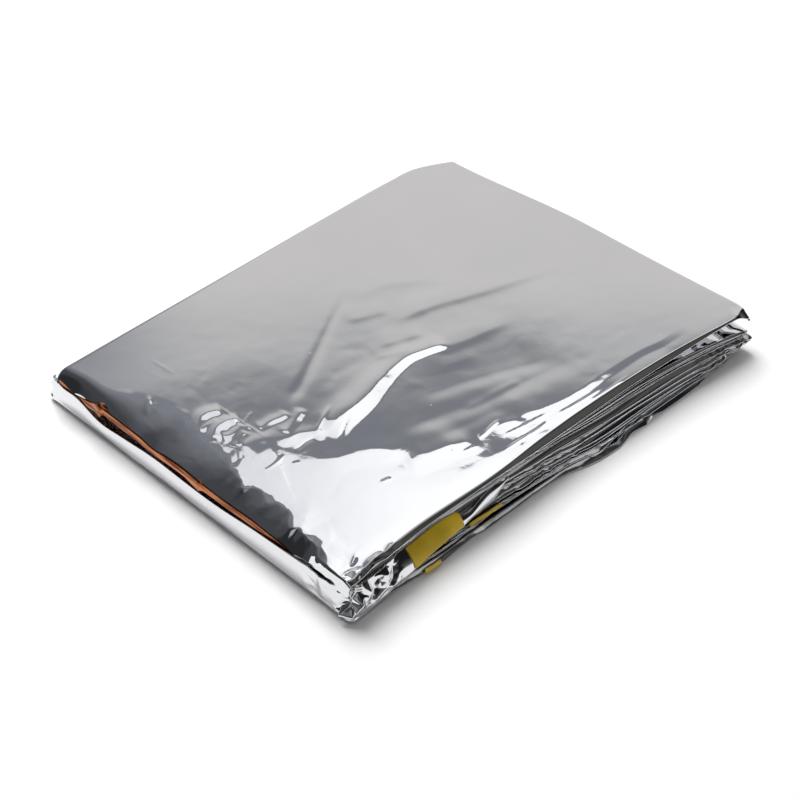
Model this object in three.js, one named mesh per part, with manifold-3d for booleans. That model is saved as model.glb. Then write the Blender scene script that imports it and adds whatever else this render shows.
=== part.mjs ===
// Emergency sleeping bag of metallised film, folded into a flat pack that lies on a surface.
// One back-and-forth sheet makes the stack, and its bottom layer turns up round one end as a smooth band.
// A copper-faced film shows as a rolled fold behind that band, and bits of seam tape show on the long side.
// Millimetres, +Z up, origin under the middle of the pack, +X along its length.
import * as THREE from 'three';
import Module from 'manifold-3d';

const wasm = await Module();
wasm.setup();

// The bag laid flat, and how often it is folded each way.
const BAG_LENGTH = 2000;
const BAG_WIDTH = 1000;
const FOLDS_ALONG = 12;
const FOLDS_ACROSS = 8;
const PACK_LENGTH = BAG_LENGTH / FOLDS_ALONG;
const PACK_WIDTH = BAG_WIDTH / FOLDS_ACROSS;
const HALF_LENGTH = PACK_LENGTH / 2;
const HALF_WIDTH = PACK_WIDTH / 2;

// Each layer of the stack stands for a bundle of films, and every fold joins two layers.
const LAYERS = 9;
const SHEET = 1.2;
const GAP = 0.35;
const PITCH = SHEET + GAP;
const STACK_HEIGHT = SHEET + (LAYERS - 1) * PITCH;
const CLEAR = 0.35;

// How far the front folds and the top sheet's free edge reach past half the width, at places along the pack.
const FRONT_PLACES = [-80, -62, -53, -36, -22, 0, 12, 36, 62, 83];
const FRONT_FOLDS = [
  { fold: 'bottom', past: [-4.1, -2.9, 0.1, -1.1, -1.5, 0.9, 3.9, 3.1, 3.7, -0.1] },
  { fold: 'lower', past: [-4.5, -3.7, -3.3, -3, -2.5, -0.9, 0.9, 1.3, 2.1, 0.7] },
  { fold: 'middle', past: [-5.1, -4.7, -4.7, -4.9, -4.7, -2.3, -0.9, -0.1, 1.1, 2.9] },
  { fold: 'upper', past: [-6.1, -5.9, -6.1, -6.1, -5.7, -4.1, -3.3, -2.7, -1.1, 2.1] },
  { fold: 'top edge', past: [-3.1, -4.3, -4.7, -4.5, -4.3, -4.5, -4.5, -3.9, -2.1, 1.1] },
];
// The same for the back folds towards +Y, with the bottom layer's free end first.
const BACK_PLACES = [-80, -40, 30, 83];
const BACK_FOLDS = [
  { fold: 'bottom end', past: [2.9, 0.5, 0.5, -0.1] },
  { fold: 'lower', past: [4.1, 2.3, 2.7, 1.3] },
  { fold: 'middle', past: [4.3, 1.5, 2.1, 2.9] },
  { fold: 'upper', past: [3.5, 2.5, 3.3, 2.1] },
  { fold: 'top', past: [2.7, 3.1, 3.6, 3.1] },
];
// How far each layer stops short of half the length, from the bottom up. The bottom one runs on into the band.
const SHORT_LEFT = [2.1, 5.4, 5.5, 5.4, 5.6, 5.4, 5.5, 5.4, 4.7];
const SHORT_RIGHT = [2.9, 2.3, 1.9, 1.5, 1.1, 0.9, 1.1, 1.9, 0];

// Places where the stack is pressed thinner. The share is of its height.
const MIDDLE_FOLD = 2;
const FRONT_PRESS = { depth: 8, share: 0.2 };
const LEFT_PRESS = { depth: 9, inset: 4, share: 0.08 };
const CORNER_PRESS = [
  { corner: 'front left', at: [-83, -66], radius: 24, share: 0.02 },
  { corner: 'back left', at: [-83, 66], radius: 26, share: 0.03 },
  { corner: 'back right', at: [83, 66], radius: 40, share: 0.03 },
];
// Under the top sheet the layers part from it at the front right corner.
const SPLAY = { at: [90, -74], radius: 34, share: 0.46 };

// Main soft troughs and ridges of the top sheet. They fade at their ends and, by a power, down the stack.
const RELIEF_FADE = 0.25;
const RELIEF_POWER = 4;
const RELIEF = [
  { crease: 'long trough', from: [6, 31], to: [-42, 5], width: 6, height: -0.7 },
  { crease: 'upper swell', from: [43, 2], to: [3, 9], width: 7, height: -0.6 },
  { crease: 'middle swell', from: [35, -13], to: [-13, -1], width: 7, height: 0.5 },
  { crease: 'bright ridge', from: [5, -9], to: [-60, -18], width: 6, height: 0.8 },
  { crease: 'hollow', from: [30, -33], to: [-12, -30], width: 8, height: -0.7 },
  { crease: 'front swell', from: [39, -42], to: [-13, -42], width: 6, height: 0.5 },
  { crease: 'edge trough', from: [62, -57], to: [16, -54], width: 4.5, height: -0.8 },
  { crease: 'corner hollow', from: [-72, 20], to: [-74, -30], width: 7, height: -0.6 },
];

// The band that turns up round the left end and on along the front, at distances along its run.
const BAND_BACK = { y: 70.4, corner: 3 };
const BAND_FRONT = { y: -62.8, corner: 2, endX: -21, endY: -60.6 };
const BAND_RUNS = [
  { place: 'back corner', at: 0, low: 0, high: 6.4, foot: 1.6, lean: 0.2 },
  { place: 'back swell', at: 11, low: 0, high: 8.0, foot: 2.8, lean: 0 },
  { place: 'left dip', at: 31, low: 0, high: 6.2, foot: 2.8, lean: 0 },
  { place: 'left middle', at: 74, low: 0, high: 8.3, foot: 2.8, lean: 0 },
  { place: 'left front', at: 122, low: 0, high: 9.2, foot: 2.8, lean: 0 },
  { place: 'front corner', at: 134, low: 0, high: 9.3, foot: 1.4, lean: 1.2 },
  { place: 'tuck', at: 146, low: 1.2, high: 9.0, foot: 1.0, lean: 3.0 },
  { place: 'tape start', at: 156, low: 2.6, high: 9.0, foot: 0.8, lean: 3.4 },
  { place: 'tape end', at: 176, low: 4.8, high: 9.0, foot: 0.8, lean: 2.6 },
  { place: 'front end', at: 195, low: 5.8, high: 8.8, foot: 0.8, lean: 2.0 },
];
const BAND_BULGE = 0.3;
const BAND_BEND = { radius: 1.8, share: 0.7, steps: 3 };
const BAND_FACE_STEPS = 5;
const LIP_CURL = 0.3;

// The copper-faced inner film: a hairpin with a round bead, pinched into knuckles along its length.
const COPPER = { sheet: 0.9, gap: 0.35, x: -80.35, foot: 1.65, front: -46, back: 63 };
const COPPER_KNUCKLES = [
  { y: -46, bead: 1.05, top: 7.4 },
  { y: -38, bead: 1.2, top: 8.4 },
  { y: -28, bead: 1.35, top: 9.1 },
  { y: -5, bead: 1.25, top: 9.1 },
  { y: 0, bead: 1.5, top: 10.4 },
  { y: 5, bead: 1.25, top: 9.6 },
  { y: 19, bead: 1.2, top: 8.8 },
  { y: 37, bead: 1.35, top: 10.2 },
  { y: 42, bead: 1.5, top: 11.8 },
  { y: 48, bead: 1.25, top: 9.4 },
  { y: 54, bead: 1.15, top: 8.2 },
  { y: 63, bead: 1.05, top: 8.4 },
];

const TAPE = 0.6;
const TAPE_BITS = [
  { name: 'seam_tape_main', from: -59, to: -39.6 },
  { name: 'seam_tape_side', from: -36.8, to: -24.6, fold: 1, turn: [0.31, 0.6] },
  { name: 'seam_tape_low', from: -56.6, to: -51, fold: 0, turn: [0.38, 0.8] },
];

const FINISH = {
  film: { color: 0xc9cacb, roughness: 0.12, metalness: 1 },
  copper: { color: 0xa8633a, roughness: 0.2, metalness: 1 },
  tape: { color: 0x8f7a1c, roughness: 0.4, metalness: 0 },
};

const { clamp, lerp, smoothstep } = THREE.MathUtils;

// A smooth curve through values given at increasing places.
function along(places, values, at) {
  if (at <= places[0]) return values[0];
  const next = places.findIndex((p) => p > at);
  if (next < 0) return values.at(-1);
  const t = smoothstep(at, places[next - 1], places[next]);
  return lerp(values[next - 1], values[next], t);
}

function column(rows, place, name, at) {
  return along(rows.map((r) => r[place]), rows.map((r) => r[name]), at);
}

const frontReach = (row, x) => HALF_WIDTH + along(FRONT_PLACES, FRONT_FOLDS[row].past, x);
const backReach = (row, x) => HALF_WIDTH + along(BACK_PLACES, BACK_FOLDS[row].past, x);

// 1 at a point, falling smoothly to nothing round it.
function near(x, y, at, radius) {
  const d = Math.hypot(x - at[0], y - at[1]) / radius;
  return Math.exp(-d * d);
}

// The share of its flat height that the stack keeps at a place.
function pressed(x, y) {
  const front = -frontReach(MIDDLE_FOLD, x) + FRONT_PRESS.depth;
  const left = -HALF_LENGTH + LEFT_PRESS.inset + LEFT_PRESS.depth;
  let kept = 1;
  kept -= FRONT_PRESS.share * smoothstep(front - y, 0, FRONT_PRESS.depth);
  kept -= LEFT_PRESS.share * smoothstep(left - x, 0, LEFT_PRESS.depth);
  for (const c of CORNER_PRESS) kept -= c.share * near(x, y, c.at, c.radius);
  return kept;
}

// Height that the main creases add to the top sheet. Each fades out at its ends.
function relief(x, y) {
  let sum = 0;
  for (const c of RELIEF) {
    const run = new THREE.Vector2(c.to[0] - c.from[0], c.to[1] - c.from[1]);
    const reach = run.length();
    run.normalize();
    const px = x - c.from[0];
    const py = y - c.from[1];
    const t = (px * run.x + py * run.y) / reach;
    const off = (px * run.y - py * run.x) / c.width;
    const ends = smoothstep(t, -RELIEF_FADE, RELIEF_FADE) * smoothstep(1 - t, -RELIEF_FADE, RELIEF_FADE);
    sum += c.height * ends * Math.exp(-off * off);
  }
  return sum;
}

// Moves a point of the flat stack to where it lies. level is the layer, with fractions in a fold.
function lay(x, y, z, level) {
  const top = clamp(level - (LAYERS - 2), 0, 1);
  const splay = 1 - SPLAY.share * near(x, y, SPLAY.at, SPLAY.radius) * (1 - top);
  const share = z / STACK_HEIGHT;
  return z * pressed(x, y) * splay + relief(x, y) * share ** RELIEF_POWER;
}

// Outline samples of the stack's section, in order round it. Each gives its y for an x, and its flat z.
const NOSE = SHEET / 2 + PITCH / 2;
const layerZ = (i) => SHEET / 2 + i * PITCH;
const frontRow = (i) => Math.floor(i / 2);
const backRow = (i) => Math.floor((i + 1) / 2);

function straight(i, side, count, toFront) {
  const samples = [];
  const z = layerZ(i) + (side * SHEET) / 2;
  const freeFront = i === LAYERS - 1;
  const freeBack = i === 0;
  for (let k = 0; k <= count; k++) {
    const t = toFront ? 1 - k / count : k / count;
    const y = (x) => {
      const front = -frontReach(frontRow(i), x) + (freeFront ? 0 : NOSE);
      const back = backReach(backRow(i), x) - (freeBack ? 0 : NOSE);
      return lerp(front, back, t);
    };
    samples.push({ y, z, level: i });
  }
  return samples;
}

// Half a turn between layer i and the one above it, without the ends, which belong to the straights.
function nose(i, atFront, outer, up) {
  const samples = [];
  const radius = outer ? NOSE : GAP / 2;
  const steps = outer ? 6 : 2;
  const row = atFront ? frontRow(i) : backRow(i);
  for (let k = 1; k < steps; k++) {
    const t = up ? k / steps : 1 - k / steps;
    const angle = Math.PI * t;
    const out = radius * Math.sin(angle);
    const y = (x) => (atFront ? NOSE - frontReach(row, x) - out : backReach(row, x) - NOSE + out);
    samples.push({ y, z: layerZ(i) + PITCH / 2 - radius * Math.cos(angle), level: i + t });
  }
  return samples;
}

function stackOutline() {
  const HIDDEN = 4;
  const TOP_FACE = 20;
  const TOP_UNDER = 8;
  const top = LAYERS - 1;
  const outline = [];
  for (let i = 0; i <= top; i += 2) {
    outline.push(...straight(i, -1, i === top ? TOP_UNDER : HIDDEN, true));
    if (i === top) break;
    outline.push(...nose(i, true, true, true));
    outline.push(...straight(i + 1, 1, HIDDEN, false));
    outline.push(...nose(i + 1, false, false, true));
  }
  for (let i = top; i >= 0; i -= 2) {
    outline.push(...straight(i, 1, i === top ? TOP_FACE : HIDDEN, false));
    if (i === 0) break;
    outline.push(...nose(i - 1, false, true, false));
    outline.push(...straight(i - 1, -1, HIDDEN, true));
    outline.push(...nose(i - 2, true, false, false));
  }
  return outline;
}

// Triangles of a flat outline, turned the way the outline runs.
function capFaces(outline) {
  const faces = THREE.ShapeUtils.triangulateShape(outline, []);
  return THREE.ShapeUtils.isClockWise(outline) ? faces.map((f) => f.reverse()) : faces;
}

// A closed skin over rows of points with the same count, with flat caps cut to the first and last row.
function skin(rows, capOf) {
  const count = rows[0].length;
  const positions = rows.flat().flatMap((p) => [p.x, p.y, p.z]);
  const index = [];
  for (let r = 0; r + 1 < rows.length; r++) {
    for (let k = 0; k < count; k++) {
      const a = r * count + k;
      const b = r * count + ((k + 1) % count);
      index.push(a, b, b + count, a, b + count, a + count);
    }
  }
  const last = (rows.length - 1) * count;
  for (const [a, b, c] of capFaces(capOf(rows[0]))) index.push(c, b, a);
  for (const [a, b, c] of capFaces(capOf(rows.at(-1)))) index.push(last + a, last + b, last + c);
  return outward(positions, index);
}

// The same skin with its faces pointing out.
function outward(positions, index) {
  const at = (i) => new THREE.Vector3().fromArray(positions, 3 * i);
  let volume = 0;
  for (let i = 0; i < index.length; i += 3) {
    volume += at(index[i]).dot(at(index[i + 1]).cross(at(index[i + 2])));
  }
  if (volume < 0) index.reverse();
  const geometry = new THREE.BufferGeometry();
  geometry.setAttribute('position', new THREE.Float32BufferAttribute(positions, 3));
  geometry.setIndex(index);
  return geometry;
}

function stackGeometry() {
  const STATIONS = 27;
  const outline = stackOutline();
  const layers = SHORT_LEFT.map((_, i) => i);
  const rows = [];
  for (let s = 0; s <= STATIONS; s++) {
    rows.push(outline.map(({ y, z, level }) => {
      const left = along(layers, SHORT_LEFT, level) - HALF_LENGTH;
      const right = HALF_LENGTH - along(layers, SHORT_RIGHT, level);
      const x = lerp(left, right, s / STATIONS);
      return new THREE.Vector3(x, y(x), lay(x, y(x), z, level));
    }));
  }
  const flatSection = outline.map(({ y, z }) => new THREE.Vector2(y(0), z));
  return skin(rows, () => flatSection);
}

// The band's run in plan, from the back corner round the left end and along the front.
function bandRun() {
  const { y: backY, corner: backR } = BAND_BACK;
  const { y: frontY, corner: frontR, endX, endY } = BAND_FRONT;
  const run = new THREE.Path();
  run.moveTo(-HALF_LENGTH + backR, backY);
  run.absarc(-HALF_LENGTH + backR, backY - backR, backR, Math.PI / 2, Math.PI, false);
  run.lineTo(-HALF_LENGTH, frontY + frontR);
  run.absarc(-HALF_LENGTH + frontR, frontY + frontR, frontR, Math.PI, 1.5 * Math.PI, false);
  run.lineTo(endX, endY);
  return run;
}

// A station of the run: its place, the way out of it, and its distance along the run.
function station(curve, t, before) {
  const tangent = curve.getTangentAt(t);
  const out = new THREE.Vector2(tangent.y, -tangent.x);
  return { at: curve.getPointAt(t), out, along: before + t * curve.getLength() };
}

function bandStations() {
  const LINE_STEP = 7;
  const ARC_STEP = 1.2;
  const stations = [];
  let before = 0;
  for (const curve of bandRun().curves) {
    const steps = Math.ceil(curve.getLength() / (curve.isLineCurve ? LINE_STEP : ARC_STEP));
    for (let k = stations.length ? 1 : 0; k <= steps; k++) stations.push(station(curve, k / steps, before));
    before += curve.getLength();
  }
  return stations;
}

// The band's middle line in section, from its foot to its lip, as distance outwards and height.
function bandLine(distance) {
  const value = (name) => column(BAND_RUNS, 'at', name, distance);
  const low = value('low');
  const high = value('high') - SHEET / 2;
  const foot = value('foot');
  const lean = value('lean');
  const bend = Math.min(BAND_BEND.share * foot, BAND_BEND.radius);
  const points = [new THREE.Vector2(-foot - SHEET / 2, low + SHEET / 2)];
  for (let k = 0; k <= BAND_BEND.steps; k++) {
    const angle = (k / BAND_BEND.steps) * (Math.PI / 2);
    const n = -SHEET / 2 - bend * (1 - Math.sin(angle));
    points.push(new THREE.Vector2(n, low + SHEET / 2 + bend * (1 - Math.cos(angle))));
  }
  const start = points.at(-1).y;
  for (let k = 1; k <= BAND_FACE_STEPS; k++) {
    const t = k / BAND_FACE_STEPS;
    const n = -SHEET / 2 + BAND_BULGE * Math.sin(Math.PI * t) - lean * t - LIP_CURL * t ** 4;
    points.push(new THREE.Vector2(n, lerp(start, high, t)));
  }
  return points;
}

// The line moved sideways by a distance, outwards for positive.
function beside(line, distance) {
  return line.map((p, k) => {
    const before = line[Math.max(k - 1, 0)];
    const after = line[Math.min(k + 1, line.length - 1)];
    const run = after.clone().sub(before).normalize();
    return new THREE.Vector2(p.x + run.y * distance, p.y - run.x * distance);
  });
}

// A strip of the given section, swept along stations in plan.
function swept(stations, sectionOf) {
  const rows = stations.map((s) => sectionOf(s.along).map(
    (p) => new THREE.Vector3(s.at.x + s.out.x * p.x, s.at.y + s.out.y * p.x, p.y)));
  const flat = sectionOf(stations[0].along);
  return skin(rows, () => flat);
}

const between = (line, inner, outer) => [...beside(line, inner), ...beside(line, outer).reverse()];

function bandGeometry() {
  return swept(bandStations(), (d) => between(bandLine(d), -SHEET / 2, SHEET / 2));
}

// Tape on the outside of the band, over part of its height.
function bandTape({ from, to }) {
  const STEPS = 6;
  const run = bandRun();
  const front = run.curves.at(-1);
  const before = run.getLength() - front.getLength();
  const stations = [];
  for (let k = 0; k <= STEPS; k++) {
    const x = lerp(from, to, k / STEPS);
    stations.push(station(front, (x - front.v1.x) / (front.v2.x - front.v1.x), before));
  }
  const inner = SHEET / 2 + CLEAR;
  return swept(stations, (d) => between(bandLine(d).slice(BAND_BEND.steps + 1), inner, inner + TAPE));
}

// Tape round the outside of a front fold.
function foldTape({ from, to, fold, turn }) {
  const STEPS = 6;
  const layer = 2 * fold;
  const rows = [];
  for (let s = 0; s <= STEPS; s++) {
    const x = lerp(from, to, s / STEPS);
    const ring = [];
    for (const radius of [NOSE + CLEAR, NOSE + CLEAR + TAPE]) {
      const half = [];
      for (let k = 0; k <= STEPS; k++) {
        const angle = Math.PI * lerp(turn[0], turn[1], k / STEPS);
        const y = NOSE - frontReach(fold, x) - radius * Math.sin(angle);
        const z = layerZ(layer) + PITCH / 2 - radius * Math.cos(angle);
        half.push(new THREE.Vector3(x, y, lay(x, y, z, layer + 0.5)));
      }
      ring.push(...(ring.length ? half.reverse() : half));
    }
    rows.push(ring);
  }
  return skin(rows, (row) => row.map((p) => new THREE.Vector2(p.y, p.z)));
}

// The inner film's section: two legs that open into a round bead.
function hairpin(bead, top) {
  const BEAD_STEPS = 8;
  const SPREAD = Math.PI / 4;
  const side = (halfLeg, radius, foot) => {
    const middle = top - bead;
    const points = [new THREE.Vector2(-halfLeg, foot)];
    for (let k = 0; k <= BEAD_STEPS; k++) {
      const angle = Math.PI + SPREAD - (k / BEAD_STEPS) * (Math.PI + 2 * SPREAD);
      points.push(new THREE.Vector2(radius * Math.cos(angle), middle + radius * Math.sin(angle)));
    }
    points.push(new THREE.Vector2(halfLeg, foot));
    return points;
  };
  const outer = side(COPPER.gap / 2 + COPPER.sheet, bead, COPPER.foot);
  const inner = side(COPPER.gap / 2, Math.max(bead - COPPER.sheet, COPPER.gap / 2), COPPER.foot);
  return [...outer, ...inner.reverse()];
}

function copperGeometry() {
  const STATION = 2.5;
  const steps = Math.ceil((COPPER.back - COPPER.front) / STATION);
  const rows = [];
  for (let s = 0; s <= steps; s++) {
    const y = lerp(COPPER.front, COPPER.back, s / steps);
    const bead = column(COPPER_KNUCKLES, 'y', 'bead', y);
    const top = column(COPPER_KNUCKLES, 'y', 'top', y);
    rows.push(hairpin(bead, top).map((p) => new THREE.Vector3(COPPER.x + p.x, y, p.y)));
  }
  return skin(rows, (row) => row.map((p) => new THREE.Vector2(p.x, p.z)));
}

function solid(geometry) {
  return new wasm.Manifold(new wasm.Mesh({
    numProp: 3,
    vertProperties: new Float32Array(geometry.getAttribute('position').array),
    triVerts: new Uint32Array(geometry.index.array),
  }));
}

function joined(a, b) {
  const mesh = solid(a).add(solid(b)).getMesh();
  const geometry = new THREE.BufferGeometry();
  geometry.setAttribute('position', new THREE.BufferAttribute(new Float32Array(mesh.vertProperties), 3));
  geometry.setIndex(new THREE.BufferAttribute(new Uint32Array(mesh.triVerts), 1));
  return geometry;
}

function piece(name, geometry, finish) {
  geometry.computeVertexNormals();
  const mesh = new THREE.Mesh(geometry, new THREE.MeshStandardMaterial(finish));
  mesh.name = name;
  return mesh;
}

const pack = new THREE.Group();
pack.add(piece('film_bag', joined(stackGeometry(), bandGeometry()), FINISH.film));
pack.add(piece('inner_film', copperGeometry(), FINISH.copper));
for (const bit of TAPE_BITS) {
  const geometry = bit.fold === undefined ? bandTape(bit) : foldTape(bit);
  pack.add(piece(bit.name, geometry, FINISH.tape));
}

// The origin goes under the middle of the whole pack.
const box = new THREE.Box3().setFromObject(pack);
const middle = box.getCenter(new THREE.Vector3());
for (const mesh of pack.children) mesh.geometry.translate(-middle.x, -middle.y, -box.min.z);

export default pack;
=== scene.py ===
import math

import bpy
import numpy as np
from mathutils import Matrix, Vector
from mathutils.geometry import delaunay_2d_cdt


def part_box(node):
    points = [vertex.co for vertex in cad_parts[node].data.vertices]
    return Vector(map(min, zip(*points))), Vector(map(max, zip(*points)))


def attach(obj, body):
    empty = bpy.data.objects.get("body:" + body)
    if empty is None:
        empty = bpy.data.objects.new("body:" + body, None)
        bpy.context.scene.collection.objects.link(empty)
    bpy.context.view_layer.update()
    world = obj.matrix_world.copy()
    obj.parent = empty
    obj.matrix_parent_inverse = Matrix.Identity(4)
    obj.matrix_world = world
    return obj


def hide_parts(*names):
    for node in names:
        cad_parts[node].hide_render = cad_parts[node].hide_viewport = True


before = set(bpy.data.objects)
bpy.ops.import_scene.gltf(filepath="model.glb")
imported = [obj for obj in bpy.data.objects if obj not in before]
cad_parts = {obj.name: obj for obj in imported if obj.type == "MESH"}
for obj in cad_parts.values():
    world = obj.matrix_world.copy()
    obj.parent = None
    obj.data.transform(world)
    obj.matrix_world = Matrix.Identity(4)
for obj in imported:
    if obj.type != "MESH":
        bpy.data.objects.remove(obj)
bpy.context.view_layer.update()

# Sizes below are in millimetres round the middle of the folded stack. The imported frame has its
# origin under the middle of the whole pack, so the shift between them is read from two nodes.
stackHome = {"sideTapeStart": -36.8, "copperStart": -46.0}
shift = np.array([
    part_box("seam_tape_side")[0][0] * 1000 - stackHome["sideTapeStart"],
    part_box("inner_film")[0][1] * 1000 - stackHome["copperStart"],
    0.0,
])
print("frame shift in mm:", shift.round(3).tolist())


def smooth(t):
    t = np.clip(t, 0, 1)
    return t * t * (3 - 2 * t)


# a smooth curve through values given at rising places
def through(places, values, at):
    places, values = np.asarray(places, float), np.asarray(values, float)
    slope = np.gradient(values, places)
    at = np.clip(at, places[0], places[-1])
    k = np.clip(np.searchsorted(places, at, side="right") - 1, 0, len(places) - 2)
    span = places[k + 1] - places[k]
    t = (at - places[k]) / span
    rise = values[k + 1] - values[k]
    first, last = slope[k] * span, slope[k + 1] * span
    return values[k] + t * (first + t * (3 * rise - 2 * first - last + t * (first + last - 2 * rise)))


# rows of values under the names in a heading
def table(names, *rows):
    return [dict(zip(names.split(), row)) for row in rows]


# one column of a table as a smooth curve along another
def column(rows, place, name, at):
    return through([r[place] for r in rows], [r[name] for r in rows], at)


# 1 between two places, falling to 0 past them
def inside(at, low, high, spare, over):
    return smooth((at - low + spare) / over) * smooth((high - at + spare) / over)


# soft waves of about one size in every direction, one unit high on average
def ripple(x, y, size, seed, count=14):
    draw = np.random.default_rng(seed)
    total = np.zeros(np.broadcast(x, y).shape)
    for turn, share, phase in draw.uniform(0, 1, (count, 3)):
        turn, size1, phase = turn * 2 * math.pi, size * (0.6 + share), phase * 2 * math.pi
        total = total + np.cos((x * math.cos(turn) + y * math.sin(turn)) * 2 * math.pi / size1 + phase)
    return total * math.sqrt(2 / count)


# flat facets of about one size with sharp folds between them, over a grid of places, either at
# random heights or following a height that is given
def facets(xs, ys, size, seed, given=None):
    draw = np.random.default_rng(seed)
    stray = 0.45  # how far a corner strays from an even grid, as a share of the size
    across = np.arange(xs.min() - size, xs.max() + 2 * size, size)
    up = np.arange(ys.min() - size, ys.max() + 2 * size, size)
    px, py = (a.ravel() for a in np.meshgrid(across, up, indexing="ij"))
    px = px + draw.uniform(-stray, stray, px.size) * size
    py = py + draw.uniform(-stray, stray, py.size) * size
    height = draw.uniform(-1, 1, px.size) if given is None else given(px, py)
    made = delaunay_2d_cdt([Vector(p) for p in zip(px, py)], [], [], 0, 1e-7)
    corners = np.array([tuple(v) for v in made[0]])
    height = height[[o[0] for o in made[3]]]
    order = np.argsort(xs), np.argsort(ys)
    sx, sy = xs[order[0]], ys[order[1]]
    out = np.zeros((len(xs), len(ys)))
    for tri in made[2]:
        p, h = corners[list(tri)], height[list(tri)]
        i0, i1 = np.searchsorted(sx, [p[:, 0].min(), p[:, 0].max() + 1e-6])
        j0, j1 = np.searchsorted(sy, [p[:, 1].min(), p[:, 1].max() + 1e-6])
        if i0 == i1 or j0 == j1:
            continue
        gx, gy = np.meshgrid(sx[i0:i1], sy[j0:j1], indexing="ij")
        (ax, ay), (bx, by), (cx, cy) = p
        area = (bx - ax) * (cy - ay) - (cx - ax) * (by - ay)
        if abs(area) < 1e-9:
            continue
        v = ((gx - ax) * (cy - ay) - (cx - ax) * (gy - ay)) / area
        w = ((bx - ax) * (gy - ay) - (gx - ax) * (by - ay)) / area
        covered = (v >= -1e-6) & (w >= -1e-6) & (v + w <= 1 + 1e-6)
        place = np.ix_(order[0][i0:i1], order[1][j0:j1])
        out[place] = np.where(covered, h[0] + v * (h[1] - h[0]) + w * (h[2] - h[0]), out[place])
    return out


# distance from a smooth line, positive on its left, and the share of the line passed
def fromLine(x, y, line, steps=5):
    line = np.asarray(line, float)
    at = np.linspace(0, len(line) - 1, (len(line) - 1) * steps + 1)
    px, py = (through(range(len(line)), line[:, c], at) for c in (0, 1))
    best = np.full(x.shape, 1e9)
    side, passed = np.zeros(x.shape), np.zeros(x.shape)
    for k in range(len(at) - 1):
        dx, dy = px[k + 1] - px[k], py[k + 1] - py[k]
        s = np.clip(((x - px[k]) * dx + (y - py[k]) * dy) / (dx * dx + dy * dy), 0, 1)
        ex, ey = x - px[k] - s * dx, y - py[k] - s * dy
        far = ex * ex + ey * ey
        closer = far < best
        best = np.where(closer, far, best)
        side = np.where(closer, dx * ey - dy * ex, side)
        passed = np.where(closer, (k + s) / (len(at) - 1), passed)
    return np.sqrt(best) * np.where(side < 0, -1, 1), passed


# a number, or numbers spread evenly along a line, at shares of the line
def alongLine(value, passed):
    value = np.atleast_1d(value).astype(float)
    return np.interp(passed, np.linspace(0, 1, len(value)), value)


# Height of a table of creases. Each line runs from the right end, so near is the width towards the
# front and far the width towards the back. A sharp crease is a thin fold, a ramp has a straight front
# face, and a step leaves all in front of it lower.
def creaseHeight(x, y, rows):
    total = np.zeros(x.shape)
    for row in rows:
        line = np.asarray(row["line"], float)
        reach = 3 * max(np.max(row["near"]), np.max(row["far"]))
        low, high = line.min(axis=0) - reach, line.max(axis=0) + reach
        at = (x > low[0]) & (x < high[0]) & (y > low[1]) & (y < high[1])
        if not at.any():
            continue
        off, passed = fromLine(x[at], y[at], line)
        near, far, height = (alongLine(row[name], passed) for name in ("near", "far", "height"))
        share = np.abs(off) / np.where(off > 0, near, far)
        fade = row.get("fade", 0.3)
        ends = smooth(passed / fade) * smooth((1 - passed) / fade)
        soft, straight = np.exp(-share * share), np.clip(1 - share, 0, 1)
        forms = {
            "soft": soft, "sharp": straight ** 2, "ramp": np.where(off > 0, straight, soft),
            "step": np.where(off > 0, straight - 1, 0),
        }
        total[at] += height * ends * forms[row.get("form", "soft")]
    return total


def gridFaces(rows, cols):
    i, j = np.meshgrid(np.arange(rows - 1), np.arange(cols - 1), indexing="ij")
    a = (i * cols + j).ravel()
    return np.stack([a, a + cols, a + cols + 1, a + 1], axis=1)


def newPiece(name, points, faces, material, crease=None):
    mesh = bpy.data.meshes.new(name)
    places = ((np.asarray(points).reshape(-1, 3) + shift) / 1000).tolist()
    mesh.from_pydata(places, [], np.asarray(faces).tolist())
    mesh.polygons.foreach_set("use_smooth", np.ones(len(mesh.polygons), bool))
    if crease is not None:
        mesh.attributes.new("creased", "FLOAT", "POINT").data.foreach_set("value", np.ravel(crease))
    mesh.materials.append(material)
    mesh.update()
    piece = bpy.data.objects.new(name, mesh)
    bpy.context.scene.collection.objects.link(piece)
    return piece


# directions square to a grid of points
def gridNormals(points):
    normal = np.cross(np.gradient(points, axis=0), np.gradient(points, axis=1))
    return normal / np.maximum(np.linalg.norm(normal, axis=2, keepdims=True), 1e-12)


# a thin closed sheet on both sides of a grid of points, with its four rims
def thinSheet(name, points, thickness, material, crease=None):
    rows, cols = points.shape[:2]
    normal = gridNormals(points) * thickness / 2
    both = np.concatenate([(points + normal).reshape(-1, 3), (points - normal).reshape(-1, 3)])
    face = gridFaces(rows, cols)
    under = rows * cols
    index = np.arange(under).reshape(rows, cols)
    rims = []
    for rim, flip in ((index[0], 0), (index[-1], 1), (index[:, 0], 1), (index[:, -1], 0)):
        a, b = rim[:-1], rim[1:]
        quad = np.stack([a, b, b + under, a + under], axis=1)
        rims.append(quad[:, ::-1] if flip else quad)
    faces = np.concatenate([face, face[:, ::-1] + under, *rims])
    if crease is not None:
        crease = np.concatenate([np.ravel(crease)] * 2)
    return newPiece(name, both, faces, material, crease)


# Materials

def linear(code):
    parts = [int(code[k:k + 2], 16) / 255 for k in (1, 3, 5)]
    return tuple(c / 12.92 if c <= 0.04045 else ((c + 0.055) / 1.055) ** 2.4 for c in parts) + (1.0,)


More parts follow.
